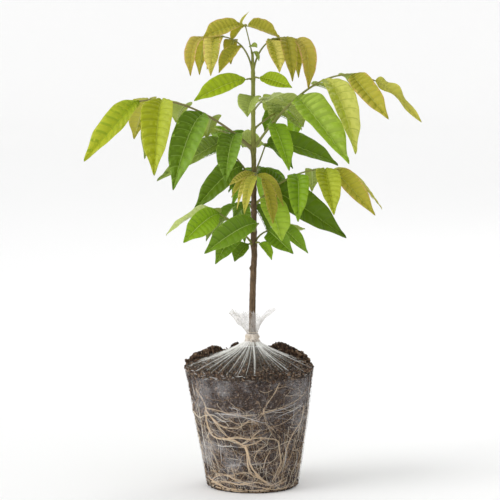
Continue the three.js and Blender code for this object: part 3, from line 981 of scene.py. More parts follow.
@dataclass(frozen=True)
class CompoundLeaf:
    """One pinnate leaf: a stalk that leaves the stem, its rachis and its drooping leaflets."""

    name: str
    slot: str
    foot: float
    knee: Place
    end: Place
    radii: tuple[float, float]
    leaflets: tuple[Leaflet, ...]
    parts: tuple[str, ...] = ("foliage",)
    stalk_tint: Tint = Tint.STALK

    def build(self, stem: "Stem", seed: int) -> None:
        """Makes the rachis piece and the leaflets' piece.

        Args:
            stem: The stem that carries the leaf.
            seed: Number that its irregularities come from.
        """
        arc = Arc(stem.centre(self.foot), np.array(self.knee, float), np.array(self.end, float))
        self.build_rachis(arc, stem.radius(self.foot))
        skin = Skin()
        finishes: list[Blade] = []
        for number, leaflet in enumerate(self.leaflets):
            self.add_leaflet(skin, finishes, arc, leaflet, seed * 40 + number)
        piece = skin.piece(f"{self.name}_leaflets", [one.material() for one in finishes])
        mount(piece, [f"{self.name}_{part}" for part in self.parts])

    def build_rachis(self, arc: Arc, foot: float) -> None:
        """Makes the stalk, with its swollen foot and a joint below each leaflet.

        Args:
            arc: Curve of the stalk from the stem's middle.
            foot: Distance along it to the stem's surface.
        """
        length = arc.length()
        share = np.linspace(0, 1, max(12, int(length / STALK_FORM.step)))
        joints = [min(leaflet.at, 0.99) * length for leaflet in self.leaflets]
        skin = Skin()
        radii = STALK_FORM.radii(share * length, self.radii, foot, joints)
        skin.add_tube(arc.point(share), radii, STALK_FORM.sides)
        piece = skin.piece(f"{self.name}_rachis", [Stalk(self.stalk_tint).material()])
        mount(piece, [f"{self.name}_stalk"])

    @staticmethod
    def add_leaflet(skin: Skin, finishes: list[Blade], rachis: Arc, leaflet: Leaflet, seed: int) -> None:
        """Adds one blade with its short stalk and raised midrib.

        Args:
            skin: Mesh that gathers the whole leaf.
            finishes: Finishes in use so far, in the order of their numbers. New ones join it.
            rachis: Curve that the leaflet springs from.
            leaflet: The blade's own sizes.
            seed: Number that its small irregularities come from.
        """
        arc = FORM.arc(rachis.point(min(leaflet.at, 0.995)), leaflet)
        grid, rows, across = FORM.surface(arc, leaflet, seed)
        steps, *others = leaflet.tone.finishes()
        finishes.extend(one for one in (*steps, *others) if one not in finishes)
        numbers = [finishes.index(one) for one in (*steps, *others)]
        skin.add_grid(grid, FORM.deal(leaflet, rows, across, numbers, seed + 7))
        skin.add_tube(*FORM.rib(arc, leaflet, seed), finish=numbers[-1])


BOTH = ("inner", "outer")
LEAVES = (
    CompoundLeaf("leaf_big_left", "lime", 423.5, (-77, -4, 495), (-140, -12, 484), (2.1, 1.0), (
        Leaflet(0.14, (-33, -54, 386), 31, Tone.GLADE, lit_and_shaded_halves=0.6),
        Leaflet(0.4, (-97, -62, 377), 39, Tone.GLADE, facing=22, lit_and_shaded_halves=0.8),
        Leaflet(0.78, (-120, -60, 395), 39, Tone.CITRON, lit_and_shaded_halves=0.7),
        Leaflet(1, (-208, -26, 410), 29, Tone.LIME, 0.03, 58, 0.18, blunt=1.15),
        Leaflet(0.9, (-149, 36, 434), 32, Tone.HAY, wave=0.12),
        Leaflet(0.72, (-136, 46, 408), 30, Tone.PALE),
        Leaflet(0.56, (-97, 66, 453), 28, Tone.PALE),
        Leaflet(0.34, (-58, 54, 434), 28, Tone.PALE),
    ), BOTH, stalk_tint=Tint.STALK_DARK),
    CompoundLeaf("leaf_big_right", "lime", 424, (82, -4, 544), (152, -10, 509), (2.1, 0.9), (
        Leaflet(0.14, (45, -48, 400), 28, Tone.BRIGHT),
        Leaflet(0.34, (118, -58, 409), 44, Tone.SHEEN_AT_BASE, 0.14, 24, lit_and_shaded_halves=-0.5),
        Leaflet(0.55, (126, -54, 421), 38, Tone.GOLDEN, facing=8, lit_and_shaded_halves=0.7),
        Leaflet(0.8, (167, -42, 463), 28, Tone.KHAKI, 0.05, 42, lift=-0.6, blunt=0.72),
        Leaflet(1, (209, -20, 458), 16, Tone.HAY, 0.12, 50, 0.6, lift=0.1),
        Leaflet(0.25, (64, 50, 448), 24, Tone.PALE),
        Leaflet(0.48, (112, 54, 486), 24, Tone.PALE),
        Leaflet(0.7, (138, 42, 485), 22, Tone.PALE),
    ), BOTH),
    CompoundLeaf("leaf_low_left", "green", 304, (-24, -10, 335), (-50, -20, 351), (1.6, 0.9), (
        Leaflet(0.32, (-46, -30, 283), 25, Tone.MEADOW, facing=60, quilt=0.1),
        Leaflet(0.62, (-58, 22, 306), 20, Tone.MOSS),
        Leaflet(0.8, (-85, -52, 312), 30, Tone.BRIGHT, 0.3, 60, lift=0.3, blunt=0.85, quilt=0.11),
        Leaflet(0.84, (-77, 44, 335), 22, Tone.PALE),
        Leaflet(0.9, (-108, 2, 315), 16, Tone.ASH, 0.35, 32, 0.25, lift=0.2),
    )),
    CompoundLeaf("leaf_low_right", "green", 304, (10, 4, 327), (41, 8, 322), (1.5, 0.9), (
        Leaflet(0.6, (51, -22, 295), 26, Tone.MEADOW, 0.12, 55, quilt=0.1),
        Leaflet(0.94, (70, 12, 292), 21, Tone.LEAF, 0.05, 60, lift=-0.5, quilt=0.1),
        Leaflet(0.9, (67, 50, 319), 14, Tone.PALE, 0.2, 40),
    )),
    CompoundLeaf("leaf_low_front", "green", 320, (4, -20, 330), (7, -34, 334), (1.5, 1.1), (
        Leaflet(1, (-59, -58, 299), 31, Tone.MEADOW, 0.25, 58, lift=0.3, blunt=0.75, quilt=0.1),
    )),
    CompoundLeaf("leaf_mid_right", "green", 353, (52, -5, 407), (102, -12, 398), (1.8, 0.9), (
        Leaflet(0.12, (36, -46, 313), 36, Tone.FRESH, facing=4, blunt=0.7, bare=0.2, quilt=0.13),
        Leaflet(0.2, (118, 14, 311), 42, Tone.DARK, 0.1, 65),
        Leaflet(0.52, (56, -48, 337), 27, Tone.BRIGHT),
        Leaflet(0.72, (75, 30, 368), 20, Tone.PALE),
        Leaflet(0.88, (100, -52, 346), 30, Tone.CITRON, lit_and_shaded_halves=0.5),
        Leaflet(1, (152, -26, 343), 25, Tone.KHAKI, 0.06, 50, lift=-0.7, blunt=0.68),
        Leaflet(0.97, (163, 24, 346), 18, Tone.HAY, facing=30),
    ), BOTH),
    CompoundLeaf("shoot_front", "young", 390, (2, -14, 399), (6, -30, 393), (1.5, 0.9), (
        Leaflet(0.4, (-29, -32, 381), 12, Tone.SAND, facing=35),
        Leaflet(0.6, (-19, -44, 352), 10, Tone.SAND),
        Leaflet(0.3, (-26, -12, 364), 10, Tone.KHAKI, facing=40),
        Leaflet(1, (-10, -54, 347), 13, Tone.STRAW, facing=20, bare=0.1),
        Leaflet(0.95, (38, -32, 355), 13, Tone.KHAKI, facing=40),
        Leaflet(0.8, (25, -58, 336), 17, Tone.OLIVE, blunt=0.8, bare=0.3),
    )),
    CompoundLeaf("leaf_mid_left", "green", 383, (-18, 8, 412), (-38, 18, 432), (1.6, 0.9), (
        Leaflet(0.34, (-73, 4, 347), 33, Tone.FOREST, 0.12, 60),
        Leaflet(1, (-121, 50, 380), 29, Tone.SHADED_BASE, 0.04, 60, blunt=0.75),
        Leaflet(0.8, (-84, 82, 398), 24, Tone.MEADOW, 0.1),
    )),
    CompoundLeaf("leaf_mid_back_right", "green", 390.5, (10, 22, 409), (17, 44, 428), (1.5, 1.0), (
        Leaflet(1, (109, 60, 399), 31, Tone.FOREST, 0.3, 55, lift=0.3),
        Leaflet(0.92, (52, 96, 392), 24, Tone.MEADOW),
    )),
    CompoundLeaf("leaf_back_upper", "pale", 469, (10, 34, 488), (34, 104, 486), (1.5, 0.9), (
        Leaflet(0.4, (52, 52, 470), 22, Tone.ASH),
        Leaflet(0.5, (-8, 78, 466), 20, Tone.ASH),
        Leaflet(0.62, (27, 40, 451), 26, Tone.SHEEN_TO_SHADE),
        Leaflet(0.75, (70, 108, 476), 24, Tone.ASH),
        Leaflet(0.85, (20, 122, 456), 24, Tone.PALE),
        Leaflet(1, (50, 166, 452), 24, Tone.PALE),
    )),
    CompoundLeaf("leaf_upper_front", "pale", 484, (4, -6, 489), (4, -12, 488), (1.2, 0.9), (
        Leaflet(1, (-6, -46, 466), 28, Tone.PALE, 0.3),
    )),
    CompoundLeaf("leaf_small_left", "lime", 510.5, (-3, -3, 512), (-7, -6, 511), (1.3, 1.0), (
        Leaflet(1, (-72, -30, 485), 25, Tone.SPRING, 0.3, 55, 0.03, blunt=0.8),
    )),
    CompoundLeaf("leaf_small_right", "lime", 512.5, (4, -3, 514), (8, -6, 512.5), (1.3, 1.0), (
        Leaflet(1, (49, -24, 501), 20, Tone.SPRING, facing=55, wave=0.03, blunt=0.8),
    )),
    CompoundLeaf("leaf_top_left", "young", 516, (-7, -3, 574), (-61, -6, 562), (1.5, 0.8), (
        Leaflet(1, (-76, -18, 515), 18, Tone.ROSE, 0.4, 20),
        Leaflet(0.94, (-66, 22, 515), 19, Tone.KHAKI, wave=0.1),
        Leaflet(0.86, (-51, -42, 516), 22, Tone.SAND, lit_and_shaded_halves=-0.7),
        Leaflet(0.76, (-57, 40, 521), 18, Tone.KHAKI),
        Leaflet(0.4, (-41, -32, 519), 20, Tone.KHAKI, 0.24, 18, blunt=0.85, bare=0.08, lit_and_shaded_halves=0.7),
        Leaflet(0.56, (-27, 32, 528), 18, Tone.OLIVE),
    )),
    CompoundLeaf("leaf_top_right", "young", 520, (12, 2, 576), (58, 2, 558), (1.5, 0.8), (
        Leaflet(0.5, (33, -38, 520), 24, Tone.SAND, 0.18, blunt=0.8, lit_and_shaded_halves=0.6),
        Leaflet(0.6, (45, 38, 526), 18, Tone.OLIVE),
        Leaflet(0.8, (49, -38, 509), 20, Tone.OLIVE),
        Leaflet(0.9, (58, 34, 511), 16, Tone.OLIVE),
        Leaflet(0.95, (69, -8, 499), 21, Tone.ROSE, 0.35, 40),
        Leaflet(0.48, (38, 26, 556), 14, Tone.KHAKI),
    )),
    CompoundLeaf("leaf_top", "young", 540, (-4, 0, 559), (-9, -2, 578), (1.0, 0.8), (
        Leaflet(1, (-61, -20, 562), 25, Tone.KHAKI, 0.25, 44, lift=0.3, blunt=0.95, bare=0.18),
        Leaflet(0.97, (-27, 26, 556), 16, Tone.KHAKI),
        Leaflet(0.98, (34, 12, 561), 26, Tone.KHAKI, 0.2, 42, lift=-0.1, blunt=0.8, bare=0.14),
        Leaflet(1, (-4, -1, 594.5), 3.6, Tone.HAY, -0.7, 60, 0.0),
        Leaflet(0.3, (6, -10, 550), 10, Tone.PALE, 0.4, 30, lift=0.3),
        Leaflet(0.1, (8, -8, 533), 8, Tone.PALE, 0.4, 10, lift=0.3),
    )),
    CompoundLeaf("leaf_back_left", "green", 420, (-26, 50, 446), (-64, 108, 446), (1.6, 0.9), (
        Leaflet(0.3, (14, 46, 427), 25, Tone.ASH, 0.2, 65),
        Leaflet(0.55, (-12, 102, 419), 25, Tone.MEADOW),
        Leaflet(0.62, (-78, 72, 426), 24, Tone.PALE),
        Leaflet(0.9, (-34, 142, 404), 27, Tone.LEAF),
        Leaflet(1, (-96, 160, 402), 27, Tone.BRIGHT, facing=-20),
    )),
    CompoundLeaf("leaf_back_right", "green", 448, (35, 45, 477), (64, 102, 470), (1.6, 0.9), (
        Leaflet(0.4, (62, 38, 445), 22, Tone.PALE),
        Leaflet(0.55, (16, 84, 440), 24, Tone.MEADOW),
        Leaflet(0.75, (104, 84, 432), 26, Tone.LEAF),
        Leaflet(0.9, (52, 140, 424), 26, Tone.BRIGHT),
        Leaflet(1, (112, 144, 424), 27, Tone.FRESH, facing=-20),
    )),
    CompoundLeaf("leaf_mid_back", "green", 372, (6, 40, 400), (10, 92, 392), (1.6, 0.9), (
        Leaflet(0.4, (50, 60, 368), 25, Tone.DARK, facing=30),
        Leaflet(0.55, (-30, 66, 364), 24, Tone.FOREST),
        Leaflet(0.85, (48, 112, 340), 27, Tone.MEADOW),
        Leaflet(0.9, (-26, 128, 342), 27, Tone.LEAF),
        Leaflet(1, (16, 164, 334), 27, Tone.LEAF),
    )),
    CompoundLeaf("leaf_low_back", "green", 345, (-8, 34, 362), (-16, 72, 346), (1.5, 0.9), (
        Leaflet(0.3, (-24, 26, 330), 17, Tone.FOREST, facing=40),
        Leaflet(0.6, (22, 58, 304), 24, Tone.DARK),
        Leaflet(0.85, (-52, 92, 298), 24, Tone.MEADOW),
        Leaflet(1, (-10, 122, 294), 24, Tone.MEADOW),
    )),
    CompoundLeaf("leaf_bottom_left", "green", 303, (-2, -4, 307), (-4, -7, 306), (1.3, 1.0), (
        Leaflet(1, (-22, -20, 285), 19, Tone.FOREST, facing=35, blunt=1.1, quilt=0.1),
    )),
    CompoundLeaf("leaf_bottom_right", "green", 306, (7, -4, 309), (9, -7, 307), (1.3, 1.0), (
        Leaflet(1, (24, -18, 287), 14, Tone.BRIGHT, facing=25, quilt=0.1),
    )),
)


# Stem


@dataclass(frozen=True)
class Stem:
    """The single stem: its centre line, radii, swollen nodes and one knob.

    The swelling at a node has a share of height and a length, and the knob its height up the stem, direction
    in degrees and size. Relief and pitch are those of the fine and the coarse bark, and green is where the
    bark turns smoother.
    """

    heights: tuple[float, ...] = (176.8, 190, 225, 258, 291, 310, 347, 383, 402, 423, 470, 512, 530, 543)
    sideways: tuple[float, ...] = (0, 0, 0, 0.7, 2.4, 1.7, 2.0, 1.6, 2.0, 1.3, 0.9, 0.9, 0.4, 0)
    girths: tuple[float, ...] = (5.4, 4.4, 4.0, 3.9, 3.7, 3.8, 3.4, 3.3, 3.0, 3.2, 2.6, 2.5, 2.0, 1.6)
    joints: tuple[float, ...] = (304, 320, 345, 354, 373, 384, 391, 421, 425, 448, 469, 484, 511, 519)
    swelling: tuple[float, float] = (0.16, 2.6)
    knob: tuple[float, float, float] = (275, 195, 1.9)
    knob_spread: tuple[float, float] = (2.4, 0.55)
    relief: tuple[float, float] = (0.28, 0.12)
    pitch: tuple[float, float] = (1.6, 5.0)
    drawn_out: float = 0.22
    green: tuple[float, float] = (380.0, 450.0)
    rows: int = 440
    columns: int = 40

    def centre(self, height: float) -> Array:
        """Middle of the stem at a height."""
        return np.array([np.interp(height, self.heights, self.sideways), 0.0, height])

    def radius(self, height: float) -> float:
        """Radius of the stem at a height."""
        return float(np.interp(height, self.heights, self.girths))

    def ring(self, angle: Array, radius: Array, height: Array) -> Array:
        """Places round the stem's middle, at a radius from it."""
        middle = np.interp(height, self.heights, self.sideways)
        return np.stack([middle + radius * np.cos(angle), radius * np.sin(angle), height], axis=-1)

    def build(self) -> None:
        """Makes the stem with its bark relief, which fades where the bark turns green."""
        z = np.linspace(self.heights[0], self.heights[-1], self.rows)
        level, angle = np.meshgrid(z, whole_turn(self.columns), indexing="ij")
        radius = np.interp(level, self.heights, self.girths)
        for joint in self.joints:
            radius = radius * (1 + self.swelling[0] * bell(level - joint, self.swelling[1]))
        height, towards, size = self.knob
        tall, wide = self.knob_spread
        turned = aside(angle, math.radians(towards))
        radius = radius + size * np.exp(-(((level - height) / tall) ** 2) - (turned / wide) ** 2)
        tube = np.stack([radius * np.cos(angle), radius * np.sin(angle), level * self.drawn_out], axis=-1)
        rough = 1.0 - 0.6 * ease(level, *self.green)
        fine, coarse = self.relief
        radius = radius + fine * rough * grain(tube, self.pitch[0], 3)
        radius = radius + coarse * grain(tube, self.pitch[1], 2, 3.0)
        grid = self.ring(angle, radius, level)
        skin = Skin()
        skin.add_grid(grid, closed=True)
        skin.add_cap(grid[0], below=True)
        skin.add_cap(grid[-1], below=False)
        mount(skin.piece("stem_bark", [Bark().material()]), ["stem"])


# Root ball


@dataclass(frozen=True)
class Ball:
    """Tapered ball of soil with a domed top. Each mound on it has its place, radius and height."""

    base_radius: float = 57.5
    rim_radius: float = 81.0
    rim_height: float = 150.0
    rise: float = 26.5
    lean: float = -3.5
    edge: float = 4.0
    foot_radius: float = 8.5
    inset: float = 1.4
    mounds: tuple[tuple[float, float, float, float], ...] = (
        (-53, 40, 15, 9), (-22, 55, 6, 9), (35, 50, 15, 11),
        (54, 42, 12, 6.5), (66, 31, 9, 5), (-70, 18, 12, 5),
    )
    columns: int = 300
    side_rows: int = 100
    top_rows: int = 76

    def taper(self, share: Array | float) -> Array | float:
        """Radius of the side at a share of the rim's height."""
        return self.base_radius + (self.rim_radius - self.base_radius) * share

    def facing(self, across: Array, height: Array) -> Array:
        """Direction of places on the front, from how far across and how high they are."""
        share = height / self.rim_height
        return -np.arccos(np.clip((across - self.lean * share) / self.taper(share), -0.999, 0.999))

    def side(self, angle: Array, height: Array, out: Array | float = 0.0) -> Array:
        """Places on the side.

        Args:
            angle: Direction round the ball in radians.
            height: Height in millimetres.
            out: Distance outwards from the soil.

        Returns:
            The places, with the shape of the inputs and three values each.
        """
        share = height / self.rim_height
        sag = 0.8 * (np.sin(3 * angle + 0.031 * height) + 0.6 * np.sin(7 * angle - 0.05 * height + 1.3))
        radius = self.taper(share) - 0.6 * np.maximum(0, self.edge - height)
        radius = radius + sag * np.minimum(1, share * 4) + out
        x = self.lean * share + radius * np.cos(angle)
        return np.stack([x, radius * np.sin(angle), height + 0 * x], axis=-1)

    def top(self, angle: Array, share: Array, lift: Array | float = 0.0) -> Array:
        """Places on the domed top.

        Args:
            angle: Direction round the ball in radians.
            share: Share of the way out to the rim.
            lift: Distance above the soil.

        Returns:
            The places, with three values each.
        """
        rim = self.side(angle, self.rim_height + 0 * angle)
        x, y = rim[..., 0] * share, rim[..., 1] * share
        heaped = sum(h * np.exp(-((x - mx) ** 2 + (y - my) ** 2) / r**2) for mx, my, r, h in self.mounds)
        domed = self.rim_height + self.rise * (1 - share**1.25)
        z = domed + heaped * np.minimum(1, (1 - share) / 0.07) + lift
        return np.stack([x, y, z], axis=-1)

    def build(self) -> None:
        """Makes the soil with its crumbly relief."""
        turn = whole_turn(self.columns)
        evenly = np.linspace(5.5, self.rim_height - 2, self.side_rows)
        heights = np.concatenate([[0.0, 1.0, 2.5, 4.0], evenly])
        foot = self.foot_radius / self.rim_radius
        shares = np.linspace(0.985, foot, self.top_rows)
        side = self.side(*np.meshgrid(turn, heights), -self.inset)
        top = self.top(*np.meshgrid(turn, shares), -self.inset / 2)
        grid = np.concatenate([side, top])
        level, upward = unit(side * [1, 1, 0]), unit(top * [0.4, 0.4, 0.0] + [0, 0, 60.0])
        outward = np.concatenate([level, upward])
        lumps = np.concatenate([0 * heights, ease(1 - shares, 0.0, 0.08) * ease(shares, 0.2, 0.4)])[:, None]
        crumbs = 1.1 * grain(grid, 9.0, 4) + 0.9 * np.abs(grain(grid, 3.2, 3, 5.0))
        crumbs = crumbs + lumps * (1.8 * grain(grid, 12.0, 4, 3.0) + 1.5 * np.abs(grain(grid, 4.5, 3, 7.0)))
        hold = np.concatenate([ease(heights, 0.0, 6.0), ease(shares, foot, 0.2)])
        grid = grid + outward * ((crumbs - 0.7) * hold[:, None])[..., None]
        grid[..., 2] = np.maximum(grid[..., 2], 0.0)
        skin = Skin()
        skin.add_grid(grid, closed=True)
        skin.add_cap(grid[0], below=True, hub=(0.0, 0.0, 0.0))
        skin.add_cap(grid[-1], below=False)
        soil = Soil("soil_moist", (0.014, 0.008, 0.005), (0.048, 0.029, 0.019), (0.190, 0.128, 0.085))
        mount(skin.piece("soil_ball", [soil.material()]), ["root_ball"])


@dataclass(frozen=True)
class Crumbs:
    """Loose crumbs of soil on the ball's side, rim and top."""

    ball: Ball
    on_side: int = 6800
    on_rim: int = 1500
    on_edge: int = 640
    on_foot: int = 260
    on_mounds: int = 2160
    on_back: int = 1900
    under_film: int = 1700
    side_largest: float = 1.5
    top_largest: float = 2.4
    side_shades: tuple[float, ...] = (0.28, 0.30, 0.26, 0.16)
    top_shades: tuple[float, ...] = (0.38, 0.40, 0.18, 0.04)
    seed: int = 11

    def build(self) -> None:
        """Makes two joined pieces of crumbs, dealt in four plain colours."""
        chance = np.random.default_rng(self.seed)
        places = np.concatenate([self.on_the_side(chance), self.round_the_foot(chance)])
        sizes = np.minimum(chance.gamma(3.0, 0.22, len(places)) + 0.32, self.side_largest)
        self.lay("crumbs_side", places, sizes, self.side_shades, chance)
        rim = [self.along_the_rim(chance), self.inside_the_rim(chance)]
        top = [self.over_the_mounds(chance), self.at_the_back(chance), self.below_the_film(chance)]
        places = np.concatenate(rim + top)
        sizes = np.minimum(chance.gamma(2.2, 0.36, len(places)) + 0.45, self.top_largest)
        sizes[-self.under_film :] = np.minimum(sizes[-self.under_film :], 1.3)
        edge = slice(0, self.on_rim + self.on_edge)
        sizes[edge] = np.minimum(0.9 * sizes[edge], 1.7)
        self.lay("crumbs_top", places, sizes, self.top_shades, chance)

    def on_the_side(self, chance: np.random.Generator) -> Array:
        """Places all over the side.

        Args:
            chance: Source of the places.

        Returns:
            The places, one row each.
        """
        angle = chance.uniform(0, 2 * math.pi, self.on_side)
        height = chance.uniform(2, self.ball.rim_height - 4, self.on_side)
        return self.ball.side(angle, height, -self.ball.inset)

    def round_the_foot(self, chance: np.random.Generator) -> Array:
        """Places close above the floor."""
        angle = chance.uniform(0, 2 * math.pi, self.on_foot)
        return self.ball.side(angle, chance.gamma(1.4, 2.2, self.on_foot), -0.2)

    def along_the_rim(self, chance: np.random.Generator) -> Array:
        """Places at the rim and a little below it."""
        angle = chance.uniform(0, 2 * math.pi, self.on_rim)
        return self.ball.side(angle, self.ball.rim_height - chance.gamma(1.3, 3.6, self.on_rim), -0.9)

    def inside_the_rim(self, chance: np.random.Generator) -> Array:
        """Places just inside the rim, heaped up in clumps and lower in front.

        Args:
            chance: Source of the places.

        Returns:
            The places, one row each.
        """
        angle = chance.uniform(0, 2 * math.pi, self.on_edge)
        share = 1 - np.abs(chance.normal(0, 0.07, self.on_edge)).clip(0.01, 0.2)
        heap = 0.6 + 1.2 * np.maximum(0, np.sin(5 * angle + 0.6) + np.sin(13 * angle))
        heap = heap - 1.1 * bell(np.cos(angle), 0.75) * (np.sin(angle) < 0)
        return self.ball.top(angle, share, chance.uniform(-0.3, 1.0, self.on_edge) * heap)

    def over_the_mounds(self, chance: np.random.Generator) -> Array:
        """Places piled up over each mound.

        Args:
            chance: Source of the places.

        Returns:
            The places, one row each.
        """
        ball = self.ball
        each = self.on_mounds // len(ball.mounds)
        places = []
        for x, y, radius, _ in ball.mounds:
            spot = chance.normal(0, 0.55 * radius, (each, 2)) + [x, y + 0.15 * radius]
            turn = np.arctan2(spot[:, 1], spot[:, 0] - ball.lean)
            share = np.minimum(np.hypot(*(spot - [ball.lean, 0]).T) / ball.rim_radius, 0.98)
            places.append(ball.top(turn, share, chance.uniform(0.5, 5.0, each)))
        return np.concatenate(places)

    def at_the_back(self, chance: np.random.Generator) -> Array:
        """Places in clumps on the back of the top.

        Args:
            chance: Source of the places.

        Returns:
            The places, one row each.
        """
        turn = math.pi / 2 + chance.normal(0, 0.95, self.on_back).clip(-1.9, 1.9)
        share = 1 - np.abs(chance.normal(0, 0.22, self.on_back)).clip(0.015, 0.6)
        clump = np.maximum(0, np.sin(7 * turn + 1) + np.sin(17 * turn)) * 1.6
        lift = chance.uniform(0.0, 1.0, self.on_back) * (3 + clump) * np.sin(turn).clip(0, 1)
        return self.ball.top(turn, share, lift)

    def below_the_film(self, chance: np.random.Generator) -> Array:
        """Places on the front of the top, just under the film.

        Args:
            chance: Source of the places.

        Returns:
            The places, one row each.
        """
        turn = chance.uniform(-math.pi - 0.1, 0.1, self.under_film)
        share = np.sqrt(chance.uniform(0.06, 0.94, self.under_film))
        return self.ball.top(turn, share, chance.uniform(-0.5, 0.3, self.under_film))

    def lay(
        self,
        name: str,
        places: Array,
        sizes: Array,
        shares: Sequence[float],
        chance: np.random.Generator,
    ) -> None:
        """Makes one piece with a small jagged lump at each place.

        Args:
            name: Name of the piece.
            places: Middle of each lump.
            sizes: Radius of each lump.
            shares: Share of the lumps in each colour, from dark to pale.
            chance: Source of the lumps' shapes.
        """
        pairs = [(a, b * (1 + 5**0.5) / 2) for a in (-1, 1) for b in (-1, 1)]
        corners = [(a, b, 0) for a, b in pairs] + [(0, a, b) for a, b in pairs]
        corners += [(b, 0, a) for a, b in pairs]
        ball = unit(np.array(corners, float))
        near = np.linalg.norm(ball[:, None] - ball[None], axis=-1) < 1.2
        faces = []
        for i, j, k in combinations(range(len(ball)), 3):
            if near[i, j] and near[j, k] and near[i, k]:
                outwards = np.dot(np.cross(ball[j] - ball[i], ball[k] - ball[i]), ball[i]) > 0
                faces.append((i, j, k) if outwards else (i, k, j))
        jagged = chance.uniform(0.55, 1.25, (len(places), len(ball), 1))
        jagged = jagged * chance.uniform(0.7, 1.3, (len(places), 1, 3))
        points = places[:, None] + ball[None] * jagged * sizes[:, None, None]
        points[..., 2] = np.maximum(points[..., 2], 0.05)
        start = (np.arange(len(places)) * len(ball))[:, None, None]
        tint = chance.choice(4, len(places), p=shares)
        tints = np.repeat(np.where(sizes > 0.9, tint % 3, tint), len(faces))
        skin = Skin()
        skin.add(points, (np.array(faces)[None] + start).reshape(-1, 3), tints)
        shades = (
            Fibre("crumb_dark", (0.026, 0.014, 0.008)),
            Fibre("crumb_brown", (0.085, 0.047, 0.027)),
            Fibre("crumb_light", (0.210, 0.138, 0.086)),
            Fibre("crumb_pale", (0.420, 0.330, 0.240)),
        )
        mount(skin.piece(name, [shade.material() for shade in shades], smooth=False))


